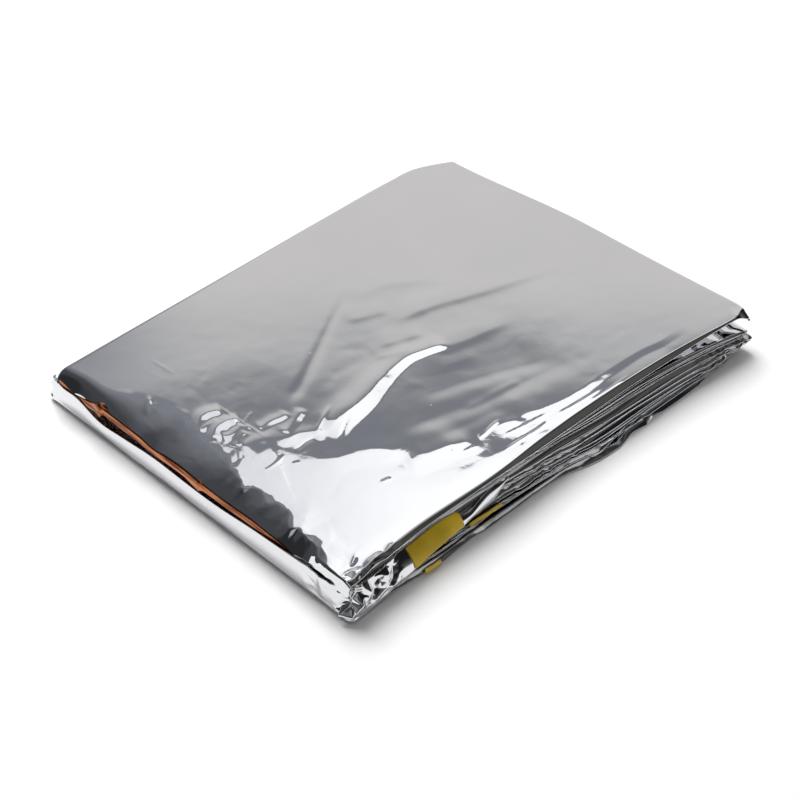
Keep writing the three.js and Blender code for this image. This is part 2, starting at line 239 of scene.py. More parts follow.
# adds one node with its settings, the values on its sockets and the links into them, where a whole
# node stands for its first output
def addNode(tree, kind, settings=None, values=None, links=None):
    node = tree.nodes.new(kind)
    for name, value in (settings or {}).items():
        setattr(node, name, value)
    for socket, value in (values or {}).items():
        node.inputs[socket].default_value = value
    for socket, source in (links or {}).items():
        tree.links.new(source.outputs[0] if hasattr(source, "outputs") else source, node.inputs[socket])
    return node


def newMaterial(name):
    material = bpy.data.materials.new(name)
    material.use_nodes = True
    tree = material.node_tree
    tree.nodes.clear()
    place = addNode(tree, "ShaderNodeTexCoord").outputs["Object"]
    millimetres = addNode(tree, "ShaderNodeMapping", values={"Scale": (1000, 1000, 1000)},
                          links={"Vector": place})
    return material, tree, millimetres


# the shader at the end of a material, with its fixed values and what runs into it
def finishMaterial(tree, values, links):
    shader = addNode(tree, "ShaderNodeBsdfPrincipled", values=values, links=links)
    addNode(tree, "ShaderNodeOutputMaterial", links={"Surface": shader})


silverFilm = {
    "bright": "#E6E6E8", "dull": "#DEDFE2", "cloudMm": 26, "roughLow": 0.02, "roughHigh": 0.036,
    "creaseRough": 0.05, "crinkleMm": 2.2, "crinkleDeep": 0.002,
    "dentMm": 9, "dentWide": 0.035, "dentDeep": 0.012,
}


# Polyester film with a vacuum coat of aluminium: a clear mirror, a little hazy in clouds, with
# fine crinkles from handling, pin dents that catch the light, and duller lines where it was creased.
def metallisedFilm(name, look):
    material, tree, place = newMaterial(name)
    cloud = addNode(tree, "ShaderNodeTexNoise", values={"Scale": 1 / look["cloudMm"], "Detail": 3},
                    links={"Vector": place})
    tone = addNode(tree, "ShaderNodeMix", {"data_type": "RGBA"},
                   {6: linear(look["bright"]), 7: linear(look["dull"])}, {0: cloud})
    worn = addNode(tree, "ShaderNodeAttribute", {"attribute_name": "creased"})
    haze = addNode(tree, "ShaderNodeMapRange", values={
        "From Min": 0.3, "From Max": 0.7, "To Min": look["roughLow"], "To Max": look["roughHigh"]},
        links={"Value": cloud})
    rough = addNode(tree, "ShaderNodeMath", {"operation": "MULTIPLY_ADD"}, {1: look["creaseRough"]},
                    {0: worn.outputs["Fac"], 2: haze})
    fine = addNode(tree, "ShaderNodeTexNoise", values={
        "Scale": 1 / look["crinkleMm"], "Detail": 2, "Distortion": 0.6}, links={"Vector": place})
    dots = addNode(tree, "ShaderNodeTexVoronoi", values={"Scale": 1 / look["dentMm"]},
                   links={"Vector": place})
    dents = addNode(tree, "ShaderNodeMapRange", {"interpolation_type": "SMOOTHSTEP"}, {
        "From Min": 0, "From Max": look["dentWide"], "To Min": 1, "To Max": 0}, {"Value": dots})
    crinkle = addNode(tree, "ShaderNodeBump", values={
        "Distance": look["crinkleDeep"] / 1000, "Strength": 1}, links={"Height": fine})
    dented = addNode(tree, "ShaderNodeBump", values={
        "Distance": look["dentDeep"] / 1000, "Strength": 1}, links={"Height": dents, "Normal": crinkle})
    finishMaterial(tree, {"Metallic": 1.0}, {
        "Base Color": tone.outputs[2], "Roughness": rough, "Normal": dented})
    return material


copperFilm = {
    "bright": "#C27C54", "dull": "#5E2F1A", "cloudMm": 14, "roughLow": 0.16, "roughHigh": 0.3,
    "streakMm": 0.8, "streakLong": 0.06, "streakDeep": 0.02,
}


# The bag's other face: the same film with a copper-toned lacquer over the metal, so it mirrors in
# warm browns, softer than the silver, with fine lines along the roll where the film was drawn tight.
def lacqueredFilm(name, look):
    material, tree, place = newMaterial(name)
    cloud = addNode(tree, "ShaderNodeTexNoise", values={"Scale": 1 / look["cloudMm"], "Detail": 4},
                    links={"Vector": place})
    rough = addNode(tree, "ShaderNodeMapRange", values={
        "From Min": 0.3, "From Max": 0.7, "To Min": look["roughLow"], "To Max": look["roughHigh"]},
        links={"Value": cloud})
    drawn = addNode(tree, "ShaderNodeMapping", values={"Scale": (1, look["streakLong"], 1)},
                    links={"Vector": place})
    streak = addNode(tree, "ShaderNodeTexNoise", values={"Scale": 1 / look["streakMm"], "Detail": 2},
                     links={"Vector": drawn})
    lined = addNode(tree, "ShaderNodeMapRange", values={"From Min": 0.36, "From Max": 0.62},
                    links={"Value": streak})
    tone = addNode(tree, "ShaderNodeMix", {"data_type": "RGBA"},
                   {6: linear(look["dull"]), 7: linear(look["bright"])}, {0: lined})
    bump = addNode(tree, "ShaderNodeBump", values={
        "Distance": look["streakDeep"] / 1000, "Strength": 1}, links={"Height": streak})
    finishMaterial(tree, {"Metallic": 1.0}, {
        "Base Color": tone.outputs[2], "Roughness": rough, "Normal": bump})
    return material


yellowTape = {
    "bright": "#F0CC3C", "dull": "#CBAA2A", "cloudMm": 6, "sheenMm": 9, "sheenTurn": 0.6,
    "grainMm": 0.9, "grainDeep": 0.010, "rough": 0.34, "ior": 1.49,
}


# Polypropylene seam tape, extruded and stretched: an even olive yellow with a satin gloss, faint
# lines from the stretching across it, and a painted sheen: paler diagonal bands in its colour, broken up in
# clouds.
def stretchedTape(name, look):
    material, tree, place = newMaterial(name)
    cloud = addNode(tree, "ShaderNodeTexNoise", values={"Scale": 1 / look["cloudMm"], "Detail": 3},
                    links={"Vector": place})
    # painted sheen: paler diagonal bands in the colour that stand in for the gloss highlight
    turned = addNode(tree, "ShaderNodeMapping", values={
        "Rotation": (0, look["sheenTurn"], 0), "Scale": (0.25, 1, 1)}, links={"Vector": place})
    paintedSheen = addNode(tree, "ShaderNodeTexNoise", values={"Scale": 1 / look["sheenMm"], "Detail": 2},
                    links={"Vector": turned})
    both = addNode(tree, "ShaderNodeMath", {"operation": "MULTIPLY"}, links={0: cloud, 1: paintedSheen})
    share = addNode(tree, "ShaderNodeMapRange", values={"From Min": 0.12, "From Max": 0.4},
                    links={"Value": both})
    tone = addNode(tree, "ShaderNodeMix", {"data_type": "RGBA"},
                   {6: linear(look["dull"]), 7: linear(look["bright"])}, {0: share})
    lines = addNode(tree, "ShaderNodeMapping", values={"Scale": (0.1, 1, 1)}, links={"Vector": place})
    grain = addNode(tree, "ShaderNodeTexNoise", values={"Scale": 1 / look["grainMm"], "Detail": 3},
                    links={"Vector": lines})
    bump = addNode(tree, "ShaderNodeBump", values={
        "Distance": look["grainDeep"] / 1000, "Strength": 1}, links={"Height": grain})
    finishMaterial(tree, {"Roughness": look["rough"], "IOR": look["ior"]}, {
        "Base Color": tone.outputs[2], "Normal": bump})
    return material


filmMaterial = metallisedFilm("metallised polyester film", silverFilm)
copperMaterial = lacqueredFilm("copper lacquered polyester film", copperFilm)
tapeMaterial = stretchedTape("stretched polypropylene tape", yellowTape)
print("materials made")


# The stack's shape that all its films share

stack = {
    "halfLength": 1000 / 12, "halfWidth": 62.5, "height": 13.6, "splayAt": (90, -74), "splayWide": 34,
    "splay": 0.46, "frontDroop": 0.006, "frontDepth": 8, "droopRow": 2,
}
lowCorners = table("at wide share", ((-83, -66), 24, 0.02), ((-83, 66), 26, 0.03), ((83, 66), 40, 0.03))
frontPlaces = [-80, -62, -53, -36, -22, 0, 12, 36, 62, 83]
frontReach = {
    "bottom": [-3.0, -0.3, 0.6, 0.3, 0.8, 1.3, 3.5, 3.2, 2.6, -0.4],
    "lower": [-3.9, -3.1, -2.7, -2.4, -1.9, -0.3, 1.5, 1.9, 2.7, 1.3],
    "middle": [-4.1, -3.7, -3.7, -3.9, -3.7, -1.3, 0.1, 0.9, 2.1, 3.6],
    "upper": [-4.7, -4.5, -4.7, -4.7, -4.3, -2.7, -1.9, -1.3, 0.3, 3.0],
    "top sheet": [-1.3, -2.5, -2.9, -2.7, -2.5, -2.7, -2.7, -2.1, -0.6, 1.4],
}
backPlaces = [-80, -40, 30, 60, 70, 77, 83]
backReach = {
    "bottom end": [2.9, 0.5, 0.5, 0.3, 0.2, 0.1, -0.1],
    "lower": [4.1, 2.3, 2.7, 2.1, 1.9, 1.6, 1.2],
    "middle": [4.3, 1.5, 2.1, 2.5, 2.3, 1.6, 0.8],
    "upper": [3.5, 2.5, 3.3, 3.1, 2.6, 1.0, -0.8],
    "top": [2.2, 2.6, 4.1, 4.6, 4.2, 1.5, -1.8],
}


# how far the films reach past half the width, at a row that may lie between two of the table's
def reachPast(places, reach, row, x):
    k = int(np.clip(math.floor(row), 0, len(reach) - 2))
    t = float(np.clip(row - k, 0, 1))
    below, above = list(reach.values())[k:k + 2]
    return (1 - t) * through(places, below, x) + t * through(places, above, x)


def frontEdge(row, x):
    return -stack["halfWidth"] - reachPast(frontPlaces, frontReach, row, x)


def backEdge(row, x):
    return stack["halfWidth"] + reachPast(backPlaces, backReach, row, x)


def nearTo(x, y, at, wide):
    return np.exp(-((x - at[0]) ** 2 + (y - at[1]) ** 2) / wide ** 2)


# where the top sheet starts to turn down at the left end, and where and how high it ends
leftTurn = table(
    "y start end height power",
    (-64, -81.6, -82.8, 10.6, 1.6), (-56, -81.6, -82.8, 10.6, 1.6), (-52, -81.2, -82.8, 10.6, 1.6),
    (-49, -80.4, -82.6, 10.4, 1.4), (-46, -79.4, -82.4, 9.8, 1.4), (-44, -78.6, -82.3, 9.4, 1.4),
    (-42, -78.0, -82.2, 9.1, 1.4), (-39, -77.2, -82.2, 9.6, 1.4), (-37, -77.0, -82.2, 10.0, 1.3),
    (-35, -78.2, -82.2, 10.4, 1.3), (-32, -76.6, -82.2, 10.6, 1.3), (-28, -73.6, -82.2, 10.8, 1.25),
    (-25, -74.0, -82.2, 11.0, 1.25), (-22.7, -76.4, -82.2, 11.2, 1.3), (-20.4, -75.0, -82.2, 11.1, 1.3),
    (-16, -75.6, -82.2, 10.9, 1.3), (-13.2, -76.4, -82.2, 10.8, 1.3), (-11, -75.0, -82.2, 10.7, 1.3),
    (-7, -74.2, -82.2, 10.7, 1.35), (-2, -72.0, -82.2, 10.9, 1.45), (2, -71.2, -82.2, 11.2, 1.6),
    (8, -70.4, -82.2, 11.5, 1.8), (14, -69.6, -82.2, 11.2, 1.9), (20, -68.0, -82.2, 10.4, 1.9),
    (26, -68.4, -82.2, 11.4, 2.0), (32, -70.0, -82.2, 11.4, 2.2), (38, -72.4, -82.2, 11.6, 2.4),
    (41, -73.8, -82.1, 11.7, 2.5), (43.2, -74.8, -81.3, 12.2, 2.7), (46, -76.0, -82.0, 11.4, 2.9),
    (50, -76.6, -82.3, 10.4, 3.0), (55, -76.9, -82.5, 9.7, 2.9), (62, -78.0, -82.7, 11.1, 2.8),
    (67, -78.8, -82.8, 11.6, 2.6),
)


# the crushed edge of that turn, between two places across the pack
leftTeeth = {
    "first": -66, "last": 12, "every": 2.1, "far": 0.9, "seed": 37,
    "front": -52, "frontFade": 4, "back": 6, "backFade": 10,
}


# the share of its height that the stack keeps, a little less along the front and at three corners
def pressedShare(x, y):
    front = frontEdge(stack["droopRow"], x)
    kept = 1 - stack["frontDroop"] * smooth((front + stack["frontDepth"] - y) / stack["frontDepth"]) ** 2
    for corner in lowCorners:
        kept = kept - corner["share"] * nearTo(x, y, corner["at"], corner["wide"])
    return kept


def leftDrop(x, y):
    names = ("start", "end", "height", "power")
    start, end, height, power = (column(leftTurn, "y", name, y) for name in names)
    at = np.arange(leftTeeth["first"], leftTeeth["last"], leftTeeth["every"])
    teeth = np.interp(y, at, np.random.default_rng(leftTeeth["seed"]).uniform(-1, 1, len(at)))
    teeth = teeth * smooth((leftTeeth["back"] - y) / leftTeeth["backFade"])
    teeth = teeth * smooth((y - leftTeeth["front"]) / leftTeeth["frontFade"])
    start = start + leftTeeth["far"] * teeth
    past = np.clip((start - x) / (start - end), 0, 1.3)
    return (stack["height"] - height) * past ** power


# Top sheet: one broad film that rolls over the front and back edges and turns down at the left

topSheet = {
    "columns": 300, "rows": 235, "backRoll": (1.6, 1.375), "backSteps": 12, "tuck": 4.0,
    "rightRoll": (0.5, 0.5), "rightSteps": 5, "rightSweep": 0.8, "rightWaver": 0.25, "rightWaverMm": 17,
    "rightInset": 2.8, "insetFrom": 5, "insetOver": 55, "frontTuck": 9.0, "frontNose": 0.2, "noseTurn": 42,
    "swell": 0.012, "swellMm": 42, "mottle": 0.001, "mottleMm": 7,
    "cornerCurl": 1.1, "curlReach": 6.5, "curlAt": 83.0, "curlSquash": 0.8,
    "creaseHaze": 0.8, "mostCrumple": 1.2,
}
wrinkle = {
    "count": 70, "seed": 14, "high": 0.0045, "area": ((-76, -58), (60, 20)), "turn": (0.35, 0.5),
    "halfLong": (3, 9), "wide": (1.0, 2.6), "share": (0.4, 1), "farWide": 1.6,
}
# flat facets pressed into it: their size and height in mm, and the seed of their corners
topFacets = {
    "big": {"size": 5.5, "high": 0.075, "seed": 21},
    "small": {"size": 2.4, "high": 0.022, "seed": 22},
    "broad": {"size": 9, "high": 0.006, "seed": 23},
    "left strip": {"size": 3.4, "high": 0.045, "seed": 24},
    "corner up": {"size": 2.6, "high": 0.45, "seed": 25},
    "corner out": {"size": 3.1, "high": 0.35, "seed": 26},
}
leftFacets = {
    "size": 3.2, "share": 0.32, "seed": 27, "front": -53, "frontFade": 5, "back": 30, "backFade": 20,
    "stripShare": 0.35, "stripPast": 1.5, "stripFade": 3, "stripBack": 58, "stripBackFade": 30,
}
crushedCorner = {"right": -58, "rightFade": 12, "back": -57, "backFade": 3}
# the strip that turns down along the front: how far it runs out and down
frontStrip = table(
    "x out down",
    (-82, 0.9, 0.85), (-62, 1.1, 0.9), (-40, 0.8, 0.66), (-28, 0.6, 0.5), (-20, 0.8, 0.64), (-8, 1.4, 1.1),
    (4, 1.6, 1.25), (30, 1.45, 1.15), (50, 1.2, 0.95), (60, 0.8, 0.66), (67, 0.5, 0.42), (74, 0.3, 0.28),
    (78, 0.6, 0.5), (81, 2.0, 1.5), (84, 2.6, 1.9),
)
softCreases = table(
    "name form height near far fade line",
    ("bright ridge", "ramp", (0.13, 0.2, 0.15), (2.0, 4.2, 6.5), (4, 6), 0.12, [
        (8, -8.8), (4.3, -8.1), (-1.4, -6.3), (-6.5, -5.2), (-13.2, -6), (-18.9, -7.3), (-24.7, -9.1),
        (-28.8, -10.1), (-36.5, -11.1), (-40.9, -11.6), (-47.8, -13.8)]),
    ("slit in the ridge", "sharp", -0.04, 0.9, 0.9, 0.3, [(-35.5, -12.1), (-41.6, -15.8), (-45.2, -18.3)]),
    ("pale field", "soft", 0.12, 15, 4, 0.35, [
        (-52, -8.5), (-57.4, -4.6), (-60.8, -3), (-64.3, -1.9), (-67.4, -1.1), (-71.7, 3.2)]),
    ("lobe by the ridge", "ramp", 0.07, 3.4, 3, 0.3, [
        (-45, -13.5), (-47, -12), (-48.4, -10.2), (-51.7, -8), (-55.4, -7.9), (-58.7, -9.4)]),
    ("dark wedge", "sharp", -0.035, 2.2, 1.4, 0.3, [
        (-46, -12.8), (-51, -12.2), (-54.2, -12.4), (-58, -13)]),
    ("left of the tongue", "ramp", 0.05, 6, 4, 0.2, [
        (-38.2, -38), (-38, -33), (-41.2, -28.4), (-45, -26.3), (-49.1, -24.5), (-52.9, -22.5),
        (-58.7, -16.5)]),
    ("right of the tongue", "ramp", 0.06, 6, 4, 0.15, [
        (-17, -45), (-22.8, -43.5), (-27.2, -42), (-32.2, -41.1), (-36, -40.2), (-40, -38.6)]),
    ("bright border", "step", (0.3, 0.18, 0.05), 8, 1, 0.3, [
        (33, -51.8), (22.5, -52.1), (13.1, -51.5), (5, -49.6), (-2.5, -47.6), (-12.3, -45.1),
        (-22.8, -43.5)]),
    ("dark sliver", "step", 0.085, 2.6, 1, 0.25, [
        (64, -54), (52.3, -53.7), (44.8, -52.4), (36.4, -51.9), (27.3, -51.7), (8, -51)]),
    ("long trough", "soft", (-0.04, -0.075), (1.4, 2.5), (1.1, 1.8), 0.2, [
        (5, 32), (-15.6, 19.9), (-29.6, 11.7), (-46, 2.5)]),
    ("arc", "soft", 0.045, 3, 6, 0.3, [(31, 14), (13.7, 26), (0, 26.5)]),
    ("short fold", "soft", 0.035, 2.2, 5, 0.3, [(8, 14.6), (-8, 21.5)]),
    ("long fold", "soft", 0.075, 2.8, 7, 0.3, [(64, -7.5), (37.4, 0.2), (15.5, 8), (0, 10)]),
    ("fold above", "soft", 0.045, 2.2, 5, 0.3, [(8, -1.2), (-9.5, 5.4)]),
    ("fold at ridge", "soft", 0.035, 2, 5, 0.3, [(-1.5, -3.6), (-14, 2.4)]),
    ("ridge run-out", "soft", 0.062, 2.6, 7, 0.3, [(32, -15.4), (12.6, -11.7), (0, -8.3)]),
    ("fold below", "soft", 0.022, 2.2, 4, 0.3, [(11, -19.4), (-5, -14.6)]),
    ("grey rise", "soft", 0.05, 3, 8, 0.3, [(-19, -42.4), (-29, -40.4), (-37, -37)]),
    ("long streak", "soft", (-0.1, -0.13, -0.12), 4.5, 18, 0.3, [
        (34, -42), (17.4, -38.6), (0, -35), (-15.5, -30.8), (-25.6, -28), (-38, -24.6)]),
    ("streak behind it", "soft", -0.065, 3.6, 15, 0.3, [
        (28, -37), (16, -32.5), (0, -25.7), (-9.6, -22.7), (-20, -19.4)]),
    ("dark streak", "soft", 0.02, 1.4, 1.6, 0.3, [(10, -37), (5.9, -36), (-6.3, -34.4), (-12, -33)]),
    ("front streak", "soft", -0.05, 3, 8, 0.3, [(2, -41.8), (-11, -39.2), (-26, -36.4)]),
    ("dash", "ramp", 0.115, 1.1, 0.5, 0.25, [(-70.5, 35.2), (-73.6, 32.4), (-76.5, 29.9)]),
    ("petal 1", "ramp", (0.09, 0.11, 0.08), (2.2, 2.9, 2.2), 1.8, 0.08, [
        (-60, 15.6), (-64.1, 17.5), (-67.2, 16.6), (-71.6, 12.1)]),
    ("petal 2", "ramp", 0.04, 1.6, 0.8, 0.12, [(-63.4, 13), (-67, 13.2), (-70.2, 12.4)]),
    ("petal 3", "ramp", (0.1, 0.14, 0.12), (2.6, 3.8, 3.2), 1.6, 0.08, [
        (-59.4, 9), (-62.4, 10.8), (-66.4, 10.4), (-70.6, 7)]),
    ("petal 4", "ramp", 0.07, 3.2, 1.4, 0.12, [(-59.8, 6.4), (-62.2, 5.7), (-65.5, 5.4), (-67.8, 6.6)]),
    ("petal 5", "ramp", 0.05, 1.8, 1.6, 0.12, [(-61.2, 2.9), (-64.3, 2.4), (-67.8, 0.5)]),
    ("streak 1", "ramp", 0.055, 2.0, 2.0, 0.15, [
        (-47.1, 1), (-50, 0.8), (-53.1, 1.5), (-56.2, 1.5), (-58.4, 1.9)]),
    ("streak 2", "ramp", 0.06, 2.1, 2.0, 0.15, [(-42.9, -0.8), (-47.3, -2.6), (-50.8, -4), (-54.7, -5)]),
)
# thin sharp folds: their height, width to each side and line
sharpFolds = table(
    "height wide line",
    (0.035, 0.7, [(-59.7, 19.5), (-59.6, 9), (-59, -3.5)]),
    (0.03, 0.8, [(-54, 8.7), (-60.5, 6)]),
    (0.04, 1.0, [(-60.1, -11.5), (-63.5, -12.8), (-66.7, -13.1), (-69.4, -12.7)]),
    (0.02, 0.8, [(-59.2, -17.2), (-61.4, -16.2)]),
    (0.05, 0.9, [(-46, -40), (-49.7, -39.1)]),
    (0.04, 0.8, [(-19.6, -47.4), (-25.3, -46.3)]),
    (0.05, 0.9, [(-7.4, -44.4), (-10.9, -44.6), (-17.8, -46.1)]),
    (0.06, 1.0, [(1.9, -53.9), (-2.1, -54.8), (-9.8, -54.3), (-17, -54.2)]),
    (0.1, 1.2, [(-72.2, -53.8), (-75.1, -55.6), (-77.5, -56.8)]),
    (0.1, 1.2, [(-76.2, -59.1), (-78.5, -57.8), (-81.9, -57.6)]),
    (0.012, 1.2, [(-59.1, 37.7), (-59.8, 48.5)]),
    (0.03, 1.4, [(-36, -5), (-48, -11)]),
    (0.05, 0.7, [(24, -55.6), (14, -55.2), (5, -54.2)]),
    (0.05, 0.6, [(34, -57.6), (24, -57.4), (16, -57)]),
    (0.045, 0.7, [(6, -52.2), (-4, -51), (-12, -49.6)]),
)
crinkledPlaces = table(
    "at wide amount",
    ((-60, 6), 13, 0.12), ((-49, -11), 10, 0.12), ((-69, -12), 7, 0.3), ((-78, -36), 8, 0.8),
    ((-80, -54), 7, 1.0), ((-2, -50), 9, 0.25), ((-37, -37), 6, 0.1), ((24, -54), 7, 0.25),
    ((-62, 30), 12, 0.15),
)


# a roll at the end of a flat run, as steps past the edge and drops
def rollSteps(roll, steps, sweep):
    turn = np.linspace(0, sweep, steps + 1)[1:]
    return roll[0] * np.sin(turn), roll[1] * (1 - np.cos(turn))


# shares from 0 to 1 that are closer together where the density is higher
def gradedShares(count, density):
    at = np.linspace(0, 1, 400)
    total = np.concatenate([[0], np.cumsum((density(at[1:]) + density(at[:-1])) / 2)])
    return np.interp(np.linspace(0, 1, count), total / total[-1], at)


# faint wrinkles scattered over the front half, most of them running along the pack
def wrinkles():
    draw = np.random.default_rng(wrinkle["seed"])
    rows = []
    for _ in range(wrinkle["count"]):
        middle = draw.uniform(*wrinkle["area"])
        turn, long = draw.normal(*wrinkle["turn"]), draw.uniform(*wrinkle["halfLong"])
        along = long * np.array([math.cos(turn), -math.sin(turn)])
        width = draw.uniform(*wrinkle["wide"])
        height = wrinkle["high"] * width * draw.choice([-1, 1]) * draw.uniform(*wrinkle["share"])
        line = [middle + along, middle - along]
        rows.append({"line": line, "height": height, "near": width, "far": wrinkle["farWide"] * width})
    return rows


def topHeight(x, y):
    z = stack["height"] * pressedShare(x, y) + creaseHeight(x, y, softCreases)
    z = z + topSheet["swell"] * ripple(x, y, topSheet["swellMm"], seed=11)
    z = z + topSheet["mottle"] * ripple(x, y, topSheet["mottleMm"], seed=12, count=20)
    thin = [{"form": "sharp", "near": row["wide"], "far": row["wide"], **row} for row in sharpFolds]
    return z + creaseHeight(x, y, thin + wrinkles())


def buildTop():
    # closer together towards the left and the front, where the creases are
    flatX = gradedShares(topSheet["columns"], lambda t: (
        1 + 1.3 * smooth((0.6 - t) / 0.3) + 2.5 * smooth((0.06 - t) / 0.04)))
    flatY = gradedShares(topSheet["rows"], lambda t: 1 + 1.2 * smooth((0.72 - t) / 0.3))
    sweep = topSheet["rightSweep"] * math.pi
    rightOut, rightFall = rollSteps(topSheet["rightRoll"], topSheet["rightSteps"], sweep)
    backOut, backFall = rollSteps(topSheet["backRoll"], topSheet["backSteps"], math.pi)
    half, nose, topRow = stack["halfLength"], topSheet["frontNose"], len(frontReach) - 1

    def columns(y):
        left = column(leftTurn, "y", "end", y)
        waver = topSheet["rightWaver"] * np.sin(y / topSheet["rightWaverMm"])
        inset = topSheet["rightInset"] * smooth((y - topSheet["insetFrom"]) / topSheet["insetOver"])
        right = half - topSheet["rightRoll"][0] + waver - inset
        flat = left[None] + flatX[:, None] * (right - left)[None]
        return np.concatenate([flat, right[None] + rightOut[:, None]])

    # from the film tucked under the front, round its nose and up the strip, then over the flat to the back
    noseTurn = math.radians(topSheet["noseTurn"])
    turn = np.linspace(math.pi, noseTurn, 7)
    climb = np.linspace(0, 1, 7)[1:]

    def rows(x):
        tip = frontEdge(topRow, x) + nose
        top = tip + column(frontStrip, "x", "out", x)
        back = backEdge(topRow, x) - topSheet["backRoll"][0]
        under = tip[None] + topSheet["frontTuck"] * np.array([1, 0.5])[:, None]
        bent = tip[None] - nose * np.sin(turn)[:, None]
        strip = bent[-1:] + climb[:, None] * (top - bent[-1])[None]
        flat = top[None] + flatY[1:, None] * (back - top)[None]
        over = back[None] - topSheet["tuck"] * np.array([0.5, 1])[:, None]
        return np.concatenate([under, bent, strip, flat, back[None] + backOut[:, None], over])

    middleX = columns(np.array([0.0]))[:, 0]
    middleY = rows(np.array([0.0]))[:, 0]
    x = columns(middleY)
    y = rows(middleX).T
    down = column(frontStrip, "x", "down", middleX)[:, None]
    bent = down + nose * (math.cos(noseTurn) - np.cos(turn))[None]
    flat = np.zeros((len(middleX), len(flatY) - 1))
    back = np.zeros((len(middleX), 1)) + np.concatenate([backFall, backFall[-1:], backFall[-1:]])[None]
    fallY = np.concatenate([bent[:, :1], bent[:, :1], bent, down * (1 - climb)[None], flat, back], axis=1)
    fallX = np.concatenate([0 * flatX, rightFall])[:, None]
    # under the rolls the sheet follows the height at its edge
    z = topHeight(x, np.clip(y, frontEdge(topRow, x), backEdge(topRow, x)))

    # the turn at the left end is crushed into facets, and smooth near the back
    def crushedDrop(px, py):
        shares = (px - middleX[0]) / (half - middleX[0])
        left = column(leftTurn, "y", "end", py)
        return leftDrop(left + shares * (half - left), py)

    def pressed(name):
        form = topFacets[name]
        return form["high"] * facets(middleX, middleY, form["size"], form["seed"])

    broken = leftFacets["share"] * smooth((y - leftFacets["front"]) / leftFacets["frontFade"])
    broken = broken * smooth((leftFacets["back"] - y) / leftFacets["backFade"])
    z = z - (1 - broken) * leftDrop(x, y)
    z = z - broken * facets(middleX, middleY, leftFacets["size"], leftFacets["seed"], crushedDrop)
    bound = column(leftTurn, "y", "start", y) + leftFacets["stripPast"]
    strip = smooth((bound - x) / leftFacets["stripFade"])
    strip = strip * smooth((leftFacets["stripBack"] - y) / leftFacets["stripBackFade"])
    crumple = sum(p["amount"] * nearTo(x, y, p["at"], p["wide"]) for p in crinkledPlaces)
    crumple = np.clip(crumple + leftFacets["stripShare"] * strip, 0, topSheet["mostCrumple"])
    big = pressed("big")
    z = z + crumple * (big + pressed("small")) + strip * pressed("left strip") + pressed("broad")
    # the front left corner and the strip beside it are crushed
    crushed = smooth((crushedCorner["right"] - x) / crushedCorner["rightFade"])
    crushed = crushed * smooth((crushedCorner["back"] - y) / crushedCorner["backFade"])
    z = z + crushed * pressed("corner up")
    y = y + crushed * pressed("corner out")
    # the loose corner at the front right curls down
    corner = frontEdge(topRow, np.array([topSheet["curlAt"]]))[0]
    curl = np.hypot(x - half, (y - corner) * topSheet["curlSquash"])
    z = z - topSheet["cornerCurl"] * smooth(1 - curl / topSheet["curlReach"]) ** 2 - fallX - fallY
    creased = np.clip(crumple * np.abs(big) * topSheet["creaseHaze"] / topFacets["big"]["high"], 0, 1)
    points = np.stack([x, y, z], axis=2)
    piece = newPiece("film_top", points, gridFaces(*points.shape[:2]), filmMaterial, creased)
    print("top sheet:", len(piece.data.vertices), "points")
    return piece


filmTop = buildTop()


# Folds under it: one thin film back and forth, with a round nose at every turn

folds = {
    "sheet": 0.2, "columns": 290, "left": -77.6, "noseRound": 0.14, "noseTurn": 135, "noseSteps": 7,
    "slopeSteps": 5, "slopePower": 1.25, "backLong": 0.9, "rowHigh": 3.4,
    "waver": 0.22, "waverMm": 46, "lift": 0.08, "liftMm": 40, "uneven": 0.3, "unevenMm": 55,
    "backWaver": 0.3, "backWaverMm": 30, "jag": 0.8, "jagMm": 4.2, "pleat": 0.7, "pleatMm": 1.7,
    "heave": 0.2, "heaveMm": 5.0, "leftWaver": 0.3, "leftWaverTurn": 2.4, "crumpleSpare": 4, "crumpleFade": 6,
}
# each turn at the front: heights of its two layers' faces, the row of the reach table, how far it stops
# short of that, how far its round end runs, how far it stops short of the right end, and how much its
# two layers sink and lift where the bottom fold is open
frontTurns = table(
    "low high row short long right sink lift",
    (0.06, 1.85, 0.0, 0.0, 1.9, 2.9, -0.8, 0),
    (2.0, 2.9, 0.4, 0.1, 1.3, 2.3, 0, 0.4),
    (3.35, 4.3, 0.9, 0.7, 0.75, 1.9, 0, 0),
    (4.5, 6.0, 1.35, 0.0, 2.2, 1.5, 0, 0),
    (6.5, 7.5, 1.8, 0.1, 0.9, 1.1, 0, 0),
    (7.7, 9.15, 2.2, 0.1, 1.9, 0.9, 0, 0),
    (9.7, 10.6, 2.7, 0.9, 0.7, 1.1, 0, 0),
    (10.8, 11.75, 3.1, 0.1, 1.25, 1.9, 0, 0),
)
# crushed lengths of the front turns, from and to along the pack
crumples = table(
    "turns from to amount fine",
    ((0, 0), 4, 38, 1.2, 0), ((1, 1), 0, 34, 0.8, 0), ((2, 4), -24, 8, 0.3, 0.55),
    ((6, 7), -26, -4, 0.3, 0.4), ((0, 5), 60, 86, 1.2, 0.7), ((0, 2), -60, -28, 0.4, 0),
)
# the open gap over the bottom fold: its height along the pack
bottomGap = table(
    "x gap",
    (-78, 0.1), (-62, 0.2), (-46, 0.8), (-30, 1.0), (-6, 1.0), (6, 0.3), (13, 0.2), (20, 1.0), (27, 0.2),
    (58, 0.2), (70, 0.8), (84, 0.3),
)


def foldHeight(x, y, z):
    splayed = 1 - stack["splay"] * nearTo(x, y, stack["splayAt"], stack["splayWide"])
    return z * pressedShare(x, y) * splayed * (1 - leftDrop(x, y) / stack["height"])


